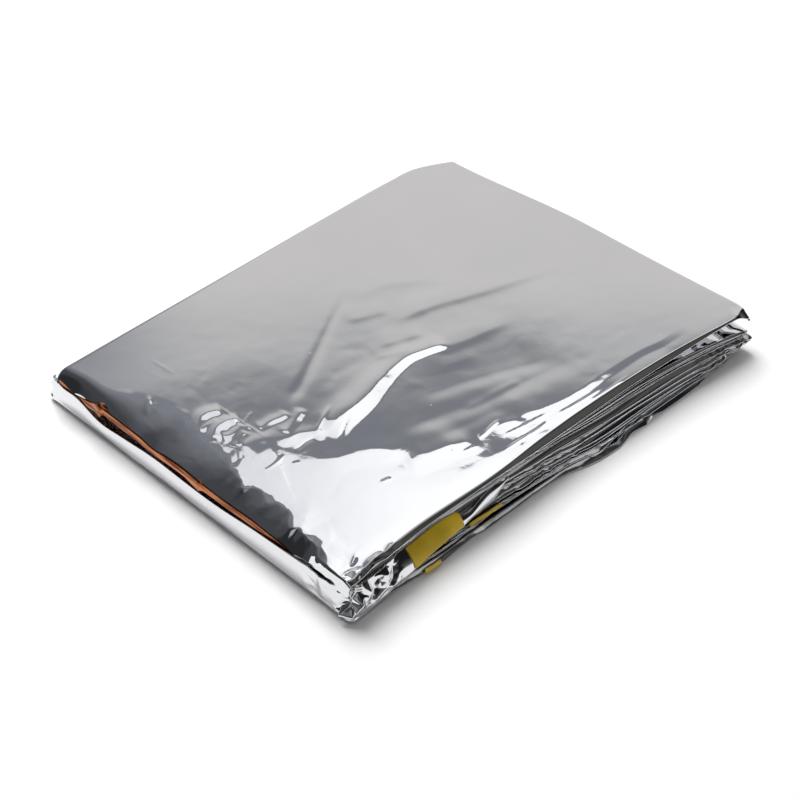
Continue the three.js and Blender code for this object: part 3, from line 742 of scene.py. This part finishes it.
def buildFolds():
    share = np.linspace(0, 1, folds["columns"])
    thin, backLong, tight = folds["sheet"] / 2, folds["backLong"], folds["noseRound"]
    line = np.array([0.0, 1.0])
    last = len(frontTurns) - 1
    sections = []
    for n, turn in enumerate(frontTurns):
        long = stack["halfLength"] - turn["right"] - folds["left"]
        x = folds["left"] + folds["leftWaver"] * math.sin(folds["leftWaverTurn"] * n) + share * long
        here = [c for c in crumples if c["turns"][0] <= n <= c["turns"][1]]
        spare, fade = folds["crumpleSpare"], folds["crumpleFade"]
        messy, pleated = (sum((c[name] * inside(x, c["from"], c["to"], spare, fade) for c in here), 0 * x)
                          for name in ("amount", "fine"))
        jag, heave, pleats = (facets(x, line, folds[name + "Mm"], seed + n)[:, 0]
                              for name, seed in (("jag", 40), ("heave", 60), ("pleat", 50)))
        tip = frontEdge(turn["row"], x) + turn["short"] + thin
        tip = tip + folds["waver"] * ripple(x, n * 19.0, folds["waverMm"], seed=71)
        tip = tip + messy * folds["jag"] * jag + pleated * folds["pleat"] * pleats
        wave = folds["lift"] * ripple(x, n * 13.0, folds["liftMm"], seed=75) + folds["heave"] * messy * heave
        wave = np.maximum(wave, -turn["low"] * 0.8)
        pressed = 1 - stack["splay"] * nearTo(x, tip, stack["splayAt"], stack["splayWide"])
        uneven = 1 + folds["uneven"] * ripple(x, n * 7.0, folds["unevenMm"], seed=77)
        front = tip + turn["long"] * pressed * uneven
        gap = column(bottomGap, "x", "gap", x)
        low = turn["low"] + thin + wave + turn["lift"] * gap
        high = turn["high"] - thin + wave + turn["sink"] * gap
        backLow, backHigh = (
            backEdge(turn[name] / folds["rowHigh"], x) - thin - backLong
            + folds["backWaver"] * ripple(x, n * 6.0 + step, folds["backWaverMm"], seed=74)
            for name, step in (("low", 0), ("high", 6)))
        sections += [(x, backLow * (1 - t) + front * t, low) for t in (0, 0.5, 0.95)]
        # the end is a tight round low down, with a slope from it up to the upper layer
        for t in np.linspace(0, math.radians(folds["noseTurn"]), folds["noseSteps"]):
            y, z = tip + tight - tight * math.sin(t), low + tight * (1 - math.cos(t))
            sections.append((x, y, z))
        for t in np.linspace(0, 1, folds["slopeSteps"])[1:-1]:
            rise = 1 - (1 - t) ** folds["slopePower"]
            sections.append((x, y + t * (front - y), z + (high - z) * rise))
        runs = (0, 0.05, 0.5, 1) if n < last else (0, 0.02, 0.05, 0.1, 0.2, 0.35, 0.6, 1)
        sections += [(x, front * (1 - t) + backHigh * t, high) for t in runs]
        if n < last:
            nextLow = frontTurns[n + 1]["low"] + thin
            for t in np.linspace(0, math.pi, 6)[1:-1]:
                z = (high + nextLow) / 2 - (nextLow - high) / 2 * math.cos(t)
                sections.append((x, backHigh + backLong * math.sin(t), z))
    points = np.stack([np.stack([x, y, foldHeight(x, y, z)], axis=1) for x, y, z in sections], axis=1)
    points[:, :, 2] = np.maximum(points[:, :, 2], thin)
    piece = thinSheet("film_folds", points, folds["sheet"], filmMaterial)
    print("folds:", len(piece.data.vertices), "points,", len(piece.data.polygons) * 2, "triangles")
    return piece


filmFolds = buildFolds()


# Band that turns up round the left end and on along the front

band = {
    "backY": 70.4, "backCorner": 3, "frontY": -62.8, "frontCorner": 2, "endX": -21, "endY": -60.6,
    "sheet": 0.4, "bulge": 0.3, "bend": 1.8, "bendShare": 0.7, "curl": 0.3,
    "columns": 620, "faceSteps": 36, "bendSteps": 7, "faceHigh": 9, "soft": 0.05, "softMm": 24,
    "shards": {"size": 3.2, "far": 0.45, "seed": 31}, "tightShards": {"size": 2.0, "far": 0.75, "seed": 32},
    "nick": 0.12, "nickMm": 1.3,
}
bandRuns = table(
    "place at low high foot lean inset",
    ("back corner", 0, 0.25, 8.6, 1.6, 2.4, 0),
    ("back knot", 5, 0.25, 8.6, 2.2, 1.4, 0),
    ("back swell", 11, 0.25, 8.9, 2.8, 0, 0),
    ("behind the collar", 17, 0.25, 9.1, 2.8, 0, 0),
    ("left dip", 29, 0.25, 5.9, 2.8, 0, 0),
    ("past the dip", 39, 0.25, 6.5, 2.8, 0, 0),
    ("left swell", 55, 0.25, 8.0, 2.8, 0, 0),
    ("left middle", 73, 0.25, 7.4, 2.8, 0, 0),
    ("left rise", 100, 0.25, 9.1, 2.8, 0, 0),
    ("left front", 116, 0.25, 10.1, 2.8, 0, 0),
    ("past the copper", 121, 0.25, 10.5, 2.6, 0, 0),
    ("before the corner", 128, 0.25, 10.6, 2.2, 0.3, 0),
    ("front corner", 134, 0.25, 10.0, 1.6, 4.6, 0),
    ("past the corner", 139, 0.4, 9.4, 1.2, 2.9, 0),
    ("tuck", 146, 1.2, 9.0, 1.0, 3.0, 0),
    ("tape start", 156, 2.6, 9.0, 0.8, 3.4, 0),
    ("tape end", 176, 4.8, 9.4, 0.8, 2.8, 0),
    ("by the tape", 177.2, 4.85, 9.3, 0.8, 2.6, 0),
    ("past the tape", 178.6, 5.0, 8.2, 0.7, 1.2, 0.1),
    ("pale flap", 180.5, 5.2, 7.9, 0.6, 0.6, 0.2),
    ("flap middle", 185, 5.5, 9.1, 0.5, 0.7, 0.2),
    ("flap taper", 190, 6.1, 10.1, 0.4, 0.8, 0.2),
    ("front end", 195, 9.6, 10.6, 0.3, 0.3, 0.3),
)
bandCrumples = table(
    "from to amount",
    (-2, 6, 1.4), (117, 130, 0.45), (130, 140, 2.0), (140, 154, 0.9),
)


# place on the run, the way out of it and its whole length, at distances along it
def bandRun(d):
    half = stack["halfLength"]
    r1, r2 = band["backCorner"], band["frontCorner"]
    a = 0.5 * math.pi * r1
    b = a + band["backY"] - r1 - band["frontY"] - r2
    c = b + 0.5 * math.pi * r2
    run = np.array([band["endX"] + half - r2, band["endY"] - band["frontY"]])
    total = c + np.hypot(*run)
    run = run / np.hypot(*run)
    turn1 = math.pi / 2 + np.clip(d / a, 0, 1) * math.pi / 2
    turn2 = math.pi + np.clip((d - b) / (c - b), 0, 1) * math.pi / 2
    places = [d < a, d < b, d <= c]
    angle = np.where(d < b, turn1, turn2)
    ox, oy = np.where(d > c, run[1], np.cos(angle)), np.where(d > c, -run[0], np.sin(angle))
    x = np.select(places, [-half + r1 + r1 * np.cos(turn1), -half, -half + r2 + r2 * np.cos(turn2)],
                  -half + r2 + run[0] * (d - c))
    y = np.select(places, [band["backY"] - r1 + r1 * np.sin(turn1), band["backY"] - r1 - (d - a),
                           band["frontY"] + r2 + r2 * np.sin(turn2)], band["frontY"] + run[1] * (d - c))
    return x, y, ox, oy, total


bandLength = bandRun(np.zeros(1))[4]


# a point of the band's face at a share t of its height, moved out by off
def bandFace(d, t, off):
    low, high, foot, lean, inset = (
        column(bandRuns, "at", name, d) for name in ("low", "high", "foot", "lean", "inset"))
    bend = np.minimum(band["bendShare"] * foot, band["bend"])
    out = band["bulge"] * np.sin(math.pi * np.clip(t, 0, 1)) - lean * t - band["curl"] * t ** 4 - inset + off
    x, y, ox, oy, _ = bandRun(d)
    return np.stack([x + ox * out, y + oy * out, low + bend + (high - low - bend) * t], axis=-1)


def buildBand():
    # closer together at the two crushed corners
    d = bandLength * gradedShares(band["columns"], lambda t: (
        1 + 2.5 * smooth((0.05 - t) / 0.02) + 3 * smooth(1 - abs(t - 0.70) / 0.12)))
    low, foot, inset = (column(bandRuns, "at", name, d) for name in ("low", "foot", "inset"))
    bend = np.minimum(band["bendShare"] * foot, band["bend"])
    messy = sum(c["amount"] * inside(d, c["from"], c["to"], 2, 4) for c in bandCrumples)
    shares = np.linspace(0, 1, band["faceSteps"])
    up = shares * band["faceHigh"]
    soft = band["soft"] * ripple(d[:, None], up[None] * 0.4, band["softMm"], seed=33)

    # the crushed lengths are flat facets between points pushed in and out of the smooth face
    def pushedPoints(size, far, seed):
        def along(axis):
            return lambda pd, pu: bandFace(
                pd, np.clip(pu / up[-1], 0, 1), far * ripple(pd, pu, 0.8 * size, seed + 5))[:, axis]
        return np.stack([facets(d, up, size, seed, along(axis)) for axis in range(3)], axis=2)

    tight = np.clip(messy - 1, 0, 1)[:, None, None]
    crushed = (1 - tight) * pushedPoints(**band["shards"]) + tight * pushedPoints(**band["tightShards"])
    nicks = band["nick"] * facets(d, up, band["nickMm"], seed=33)
    crush = np.clip(messy, 0, 1)[:, None] * smooth(shares / 0.12)[None]
    x, y, ox, oy, _ = bandRun(d)
    rows = [np.stack([x - ox * foot, y - oy * foot, low], axis=1)]
    for turn in np.linspace(0, math.pi / 2, band["bendSteps"]):
        out = bend * (np.sin(turn) - 1) - inset
        rows.append(np.stack([x + ox * out, y + oy * out, low + bend * (1 - np.cos(turn))], axis=1))
    for k in range(1, len(shares)):
        even = bandFace(d, np.full(d.shape, shares[k]), soft[:, k])
        broken = crushed[:, k] + nicks[:, k, None] * np.stack([ox, oy, 0 * ox], axis=1)
        rows.append(even + crush[:, k, None] * (broken - even))
    points = np.stack(rows, axis=1)
    creased = np.clip(np.repeat(messy[:, None], points.shape[1], axis=1) * 0.5, 0, 1)
    piece = thinSheet("film_band", points, band["sheet"], filmMaterial, creased)
    print("band:", len(piece.data.vertices), "points")
    return piece


filmBand = buildBand()


# Rolled copper fold behind the band: a bead with two legs that follows a path, swept in Geometry Nodes

copper = {
    "foot": 1.65, "step": 0.5, "legs": (0.2, 0.8), "legLong": 14.0, "crinkle": 0.04, "grain": 5.0, "seed": 5,
    "sway": 0.06, "swayMm": 30, "pathStep": 0.4,
}
copperKnuckles = table(
    "y x bead top",
    (-46, -82.0, 0.5, 8.6), (-41, -82.0, 0.65, 9.2), (-35, -81.95, 0.8, 10.2), (-29, -81.95, 0.88, 10.65),
    (-20.5, -81.95, 0.92, 11.1), (-12.4, -81.95, 0.92, 10.7), (-4, -81.95, 0.92, 10.7),
    (-2.3, -81.95, 0.98, 10.8), (-1.2, -82.0, 1.36, 11.2), (0.4, -82.0, 1.24, 11.1),
    (4, -81.95, 1.02, 11.2), (12, -81.95, 0.98, 11.2), (20, -81.95, 0.92, 10.4), (26, -81.95, 0.92, 11.3),
    (33, -81.95, 0.92, 11.35), (38, -81.95, 0.92, 11.5), (41.2, -81.95, 0.92, 11.6),
    (42.2, -81.95, 1.0, 11.8), (43.2, -82.0, 1.7, 12.6), (44.6, -82.0, 1.5, 12.1), (46.4, -82.0, 1.2, 11.3),
    (50.4, -82.05, 1.0, 10.2), (55.6, -82.1, 0.85, 9.5), (63, -82.2, 0.55, 10.8),
)
# the roll's outline across and up in shares of its bead, from its left foot over its top: a broad flat
# face to the left, and round at the right
rollOutline = [
    (-0.1, -1.75), (-0.4, -1.72), (-0.7, -1.6), (-0.88, -1.4), (-0.95, -1.1), (-0.94, -0.8), (-0.9, -0.5),
    (-0.85, -0.2), (-0.78, 0.1), (-0.7, 0.37), (-0.61, 0.62), (-0.5, 0.8), (-0.32, 0.93), (-0.05, 0.99),
    (0.3, 0.93), (0.66, 0.74), (0.9, 0.42), (0.97, 0), (0.88, -0.45), (0.62, -0.78), (0.3, -0.95),
]


def sweptRollTree():
    tree = bpy.data.node_groups.new("rolled film", "GeometryNodeTree")
    inputs = {"Path": "Geometry", "Profile": "Object", "Step": "Float", "Foot": "Float", "Crinkle": "Float",
              "Grain": "Float", "Seed": "Int", "Finish": "Material"}
    for name, kind in inputs.items():
        tree.interface.new_socket(name, in_out="INPUT", socket_type="NodeSocket" + kind)
    tree.interface.new_socket("Roll", in_out="OUTPUT", socket_type="NodeSocketGeometry")
    given = addNode(tree, "NodeGroupInput").outputs
    even = addNode(tree, "GeometryNodeResampleCurve", {"mode": "LENGTH"},
                   links={"Curve": given["Path"], "Length": given["Step"]})
    outline = addNode(tree, "GeometryNodeObjectInfo", links={"Object": given["Profile"]})
    swept = addNode(tree, "GeometryNodeCurveToMesh", links={
        "Curve": even, "Profile Curve": outline.outputs["Geometry"],
        "Scale": addNode(tree, "GeometryNodeInputRadius")})
    place = addNode(tree, "GeometryNodeInputPosition")
    fine = addNode(tree, "ShaderNodeMath", {"operation": "DIVIDE"}, {0: 1.0}, {1: given["Grain"]})
    noise = addNode(tree, "ShaderNodeTexNoise", {"noise_dimensions": "4D"}, {"Detail": 3},
                    {"Vector": place, "W": given["Seed"], "Scale": fine})
    centred = addNode(tree, "ShaderNodeMath", {"operation": "SUBTRACT"}, {1: 0.5}, {0: noise})
    deep = addNode(tree, "ShaderNodeMath", {"operation": "MULTIPLY"},
                   links={0: centred, 1: given["Crinkle"]})
    push = addNode(tree, "ShaderNodeVectorMath", {"operation": "SCALE"},
                   links={0: addNode(tree, "GeometryNodeInputNormal"), "Scale": deep})
    crushed = addNode(tree, "GeometryNodeSetPosition", links={"Geometry": swept, "Offset": push})
    moved = addNode(tree, "GeometryNodeInputPosition")
    split = addNode(tree, "ShaderNodeSeparateXYZ", links={0: moved}).outputs
    floor = addNode(tree, "ShaderNodeMath", {"operation": "MAXIMUM"}, links={0: split["Z"], 1: given["Foot"]})
    kept = addNode(tree, "ShaderNodeCombineXYZ", links={"X": split["X"], "Y": split["Y"], "Z": floor})
    stood = addNode(tree, "GeometryNodeSetPosition", links={"Geometry": crushed, "Position": kept})
    soft = addNode(tree, "GeometryNodeSetShadeSmooth", links={"Geometry": stood})
    whole = addNode(tree, "GeometryNodeRealizeInstances", links={"Geometry": soft})
    done = addNode(tree, "GeometryNodeSetMaterial", links={"Geometry": whole, "Material": given["Finish"]})
    addNode(tree, "NodeGroupOutput", links={"Roll": done})
    return tree


def polyCurve(name, places, radii=None):
    curve = bpy.data.curves.new(name, "CURVE")
    curve.dimensions = "3D"
    curve.twist_mode = "Z_UP"
    spline = curve.splines.new("POLY")
    spline.points.add(len(places) - 1)
    for k, place in enumerate(places):
        spline.points[k].co = (*place, 1)
        spline.points[k].radius = 1 if radii is None else radii[k]
    made = bpy.data.objects.new(name, curve)
    bpy.context.scene.collection.objects.link(made)
    return made


def buildCopper():
    step = copper["pathStep"]
    y = np.arange(copperKnuckles[0]["y"], copperKnuckles[-1]["y"] + step / 2, step)
    x, bead, top = (column(copperKnuckles, "y", name, y) for name in ("x", "bead", "top"))
    x = x + copper["sway"] * ripple(y, 0 * y, copper["swayMm"], seed=51)
    places = (np.stack([x, y, top - bead], axis=1) + shift) / 1000
    path = polyCurve("copper_path", places.tolist(), (bead / 1000).tolist())
    # the bead is one unit across its radius, the two legs hang from it
    legs = [(leg, -copper["legLong"]) for leg in copper["legs"]]
    profile = polyCurve("copper_outline", [(a, -b, 0) for a, b in (legs[0], *rollOutline, legs[1])])
    tree = sweptRollTree()
    values = {name.capitalize(): copper[name] / 1000 for name in ("step", "foot", "crinkle", "grain")}
    values.update({"Profile": profile, "Seed": copper["seed"], "Finish": copperMaterial})
    sweep = path.modifiers.new("roll", "NODES")
    sweep.node_group = tree
    for item in tree.interface.items_tree:
        if item.in_out == "INPUT" and item.name in values:
            sweep[item.identifier] = values[item.name]
    bpy.context.view_layer.update()
    mesh = bpy.data.meshes.new_from_object(path.evaluated_get(bpy.context.evaluated_depsgraph_get()))
    mesh.name = "inner_roll"
    piece = bpy.data.objects.new("inner_roll", mesh)
    bpy.context.scene.collection.objects.link(piece)
    path.modifiers.clear()
    for used in (path, profile):
        bpy.data.objects.remove(used)
    print("copper roll:", len(mesh.vertices), "points")
    return piece


innerRoll = buildCopper()


# Bits of yellow tape: one on the band, two round the front folds

tapes = {
    "sheet": 0.16, "clear": 0.19, "columns": 40, "bandRows": 16, "foldRows": 12, "foldBulge": 0.35,
    "wave": 0.04, "waveMm": 9, "foldWave": 0.05, "foldWaveMm": 8, "ragged": 0.08, "raggedMm": 3,
}


def tapeOnBand(name, fromX, toX, low, high):
    turn = stack["halfLength"] - band["frontCorner"]
    start = bandLength - math.hypot(band["endX"] + turn, band["endY"] - band["frontY"])
    d = start + np.linspace(fromX, toX, tapes["columns"]) + turn
    off = band["sheet"] / 2 + tapes["clear"] + tapes["sheet"] / 2
    cut = np.linspace(1, 0, len(d)) ** 8  # the end towards the corner is torn
    rows = []
    for t in np.linspace(low, high, tapes["bandRows"]):
        torn = tapes["ragged"] * ripple(d * 0 + t * 9, d * 0, tapes["raggedMm"], seed=91) * cut
        wave = tapes["wave"] * ripple(d, t * 6 + 0 * d, tapes["waveMm"], seed=92)
        rows.append(bandFace(d + torn, np.full(d.shape, t), off + wave))
    return thinSheet(name, np.stack(rows, axis=1), tapes["sheet"], tapeMaterial)


def tapeOnFold(name, fromX, toX, row, lowZ, highZ, out):
    x = np.linspace(fromX, toX, tapes["columns"])
    rows = []
    for z in np.linspace(lowZ, highZ, tapes["foldRows"]):
        bulge = tapes["foldBulge"] * math.sin(math.pi * (z - lowZ) / (highZ - lowZ))
        wave = tapes["foldWave"] * ripple(x, 0 * x + z, tapes["foldWaveMm"], seed=95)
        rows.append(np.stack([x, frontEdge(row, x) - out - bulge + wave, 0 * x + z], axis=1))
    return thinSheet(name, np.stack(rows, axis=1), tapes["sheet"], tapeMaterial)


tapeMain = tapeOnBand("tape_main", fromX=-59, toX=-39.6, low=0.04, high=1.0)
tapeSide = tapeOnFold("tape_side", fromX=-36.8, toX=-24.6, row=1, lowZ=2.6, highZ=4.1, out=0.75)
tapeLow = tapeOnFold("tape_low", fromX=-56.6, toX=-51, row=0, lowZ=0.5, highZ=2.3, out=0.45)
print("tape bits made")


# The nodes that the pieces stand in for are hidden, and all pieces hang under the root body

for piece in (filmTop, filmFolds, filmBand):
    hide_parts("film_bag")
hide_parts("inner_film")
for piece, node in ((tapeMain, "seam_tape_main"), (tapeSide, "seam_tape_side"), (tapeLow, "seam_tape_low")):
    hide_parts(node)
for piece in (filmTop, filmFolds, filmBand, innerRoll, tapeMain, tapeSide, tapeLow):
    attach(piece, "root")


# Floor, lights and camera

studio = {
    "floor": "#F4F4F4", "floorWide": 14.0, "floorRough": 0.9, "floorGloss": 0.1,
    "key": {"azimuth": 72.0, "elevation": 54.0, "far": 2.4, "size": (1.5, 1.5), "power": 76.0},
    # degrees above the table and brightness of the room round the camera, and a tint where it has one
    "room": [(0, 0.45), (3, 0.2), (7, 0.06, "#F4F8FF"), (26, 0.07, "#F4F8FF"), (34, 0.3), (50, 0.4),
             (62, 0.5), (90, 0.6)],
    # panels laid over the room in turn, round their middles in degrees, shaded by height or from
    # right to left
    "panels": [
        {"name": "far wall", "azimuth": 45, "wide": 68, "edge": 20, "elevation": 30, "tall": 45,
         "edgeUp": 20, "tint": "#FFFCFA", "heights": [
             (0, 0.78), (20, 0.75), (33, 0.715), (36, 0.7), (37.2, 0.64, "#FFFEFC"), (38.2, 0.56, "#FFFFFF"),
             (38.8, 0.465, "#FFFFFF"), (39.3, 0.38, "#FCFDFF"), (39.9, 0.305, "#F4F7FF"),
             (40.6, 0.265, "#F0F4FF"), (47, 0.22, "#F0F4FF"), (53, 0.2, "#F0F4FF"), (58, 0.5, "#FFFFFF"),
             (75, 0.55, "#FFFFFF")]},
        {"name": "left wall", "azimuth": 118, "wide": 60, "edge": 10, "elevation": 38, "tall": 46,
         "edgeUp": 14, "tint": "#F0F4FF", "turns": [
             (57, 0.34), (65, 0.26), (74, 0.21), (86, 0.135), (96, 0.1), (105, 0.074), (114, 0.076),
             (127, 0.07), (140, 0.032), (175, 0.03)]},
        {"name": "front card", "azimuth": -41, "wide": 43, "edge": 8, "elevation": 28, "tall": 28,
         "edgeUp": 6, "tint": "#F4F6FF", "heights": [
             (0, 0.3, "#FFFFFF"), (3, 0.12, "#FCFCF4"), (8, 0.05, "#FAFAF2"), (14, 0.015), (29, 0.012),
             (33, 0.045), (37, 0.085, "#F8F8F4"), (41, 0.1, "#FAFAF0"), (44, 0.07, "#FAFAF0"),
             (48, 0.035, "#FAFAF0"), (54, 0.03, "#FAFAF2"), (58, 0.08, "#FAFAF2")]},
        {"name": "softbox", "azimuth": 38, "wide": 17.5, "edge": 0.8, "elevation": 45.3, "tall": 3.75,
         "edgeUp": 0.25, "tint": "#FAFBFF", "heights": [(41, 0.96), (49.5, 1.02)]},
        {"name": "softbox middle", "azimuth": 33, "wide": 16, "edge": 8, "elevation": 45.3, "tall": 3.75,
         "edgeUp": 0.25, "tint": "#FFFFFF", "heights": [(41, 1.2), (43, 1.3), (49.5, 1.3)]},
    ],
}
# the photograph's view: where the camera stands in mm, and its three directions
view = {
    "sensor": 36, "lens": 83.34, "at": (-303.43, -312.55, 356.08), "right": (0.71310, -0.70090, -0.01522),
    "down": (-0.45907, -0.45044, -0.76574), "ahead": (0.52985, 0.55304, -0.64297),
}


def buildFloor():
    half = studio["floorWide"] / 2
    mesh = bpy.data.meshes.new("floor")
    corners = [(-half, -half, 0), (half, -half, 0), (half, half, 0), (-half, half, 0)]
    mesh.from_pydata(corners, [], [(0, 1, 2, 3)])
    material = bpy.data.materials.new("matt white board")
    material.use_nodes = True
    shader = material.node_tree.nodes["Principled BSDF"]
    shader.inputs["Base Color"].default_value = linear(studio["floor"])
    shader.inputs["Roughness"].default_value = studio["floorRough"]
    shader.inputs["Specular IOR Level"].default_value = studio["floorGloss"]
    mesh.materials.append(material)
    floor = bpy.data.objects.new("floor", mesh)
    bpy.context.scene.collection.objects.link(floor)


def addLight(name, azimuth, elevation, far, size, power):
    light = bpy.data.lights.new(name, "AREA")
    light.shape = "RECTANGLE"
    light.size, light.size_y = size
    light.energy = power
    a, e = math.radians(azimuth), math.radians(elevation)
    way = Vector((math.cos(a) * math.cos(e), math.sin(a) * math.cos(e), math.sin(e)))
    lamp = bpy.data.objects.new(name, light)
    lamp.location = way * far
    lamp.rotation_euler = way.to_track_quat("Z", "Y").to_euler()
    bpy.context.scene.collection.objects.link(lamp)
    return lamp


def buildWorld():
    world = bpy.data.worlds.new("studio")
    bpy.context.scene.world = world
    world.use_nodes = True
    tree = world.node_tree
    tree.nodes.clear()
    way = addNode(tree, "ShaderNodeTexCoord").outputs["Generated"]
    parts = addNode(tree, "ShaderNodeSeparateXYZ", links={0: way}).outputs
    rise = addNode(tree, "ShaderNodeMath", {"operation": "ARCSINE"}, links={0: parts["Z"]})
    around = addNode(tree, "ShaderNodeMath", {"operation": "ARCTAN2"}, links={0: parts["Y"], 1: parts["X"]})

    # brightness by an angle in degrees, from none to the most it reaches
    def byAngle(angle, stops, most, usual="#FFFFFF"):
        share = addNode(tree, "ShaderNodeMapRange", values={"From Min": 0, "From Max": math.radians(most)},
                        links={"Value": angle})
        ramp = addNode(tree, "ShaderNodeValToRGB", links={"Fac": share})
        points = ramp.color_ramp.elements
        while len(points) < len(stops):
            points.new(0.5)
        for point, (degrees, level, *tint) in zip(points, stops):
            point.position = degrees / most
            point.color = tuple(level * c for c in linear((tint or [usual])[0])[:3]) + (1,)
        return ramp

    # 1 inside a range of one angle, falling to 0 over an edge
    def within(angle, middle, half, edge):
        away = addNode(tree, "ShaderNodeMath", {"operation": "SUBTRACT"},
                       {1: math.radians(middle)}, {0: angle})
        turned = addNode(tree, "ShaderNodeMath", {"operation": "WRAP"}, {1: math.pi, 2: -math.pi}, {0: away})
        wide = addNode(tree, "ShaderNodeMath", {"operation": "ABSOLUTE"}, links={0: turned})
        first, last = math.radians(half - edge / 2), math.radians(half + edge / 2)
        return addNode(tree, "ShaderNodeMapRange", {"interpolation_type": "SMOOTHSTEP"}, {
            "From Min": first, "From Max": last, "To Min": 1, "To Max": 0}, {"Value": wide})

    shade = byAngle(rise, studio["room"], 90)
    for panel in studio["panels"]:
        side = within(around, panel["azimuth"], panel["wide"], panel["edge"])
        up = within(rise, panel["elevation"], panel["tall"], panel["edgeUp"])
        share = addNode(tree, "ShaderNodeMath", {"operation": "MULTIPLY"}, links={0: side, 1: up})
        if "heights" in panel:
            tone = byAngle(rise, panel["heights"], 90, panel["tint"])
        else:
            tone = byAngle(around, panel["turns"], 180, panel["tint"])
        blend = addNode(tree, "ShaderNodeMix", {"data_type": "RGBA"}, links={0: share, 6: shade, 7: tone})
        shade = blend.outputs[2]
    glow = addNode(tree, "ShaderNodeBackground", values={"Strength": 1.0}, links={"Color": shade})
    addNode(tree, "ShaderNodeOutputWorld", links={"Surface": glow})


def buildCamera():
    data = bpy.data.cameras.new("camera")
    data.sensor_width, data.lens = view["sensor"], view["lens"]
    data.clip_start, data.clip_end = 0.01, 50
    at = (np.array(view["at"]) + shift) / 1000
    camera = bpy.data.objects.new("camera", data)
    camera.matrix_world = Matrix([
        (view["right"][k], -view["down"][k], -view["ahead"][k], at[k]) for k in range(3)] + [(0, 0, 0, 1)])
    bpy.context.scene.collection.objects.link(camera)
    bpy.context.scene.camera = camera


buildFloor()
key = addLight("key", **studio["key"])
key.visible_glossy = False  # it lights the floor and stays out of the mirror film
buildWorld()
buildCamera()
bpy.context.scene.view_settings.view_transform = "Standard"
print("studio ready")

bpy.context.view_layer.update()
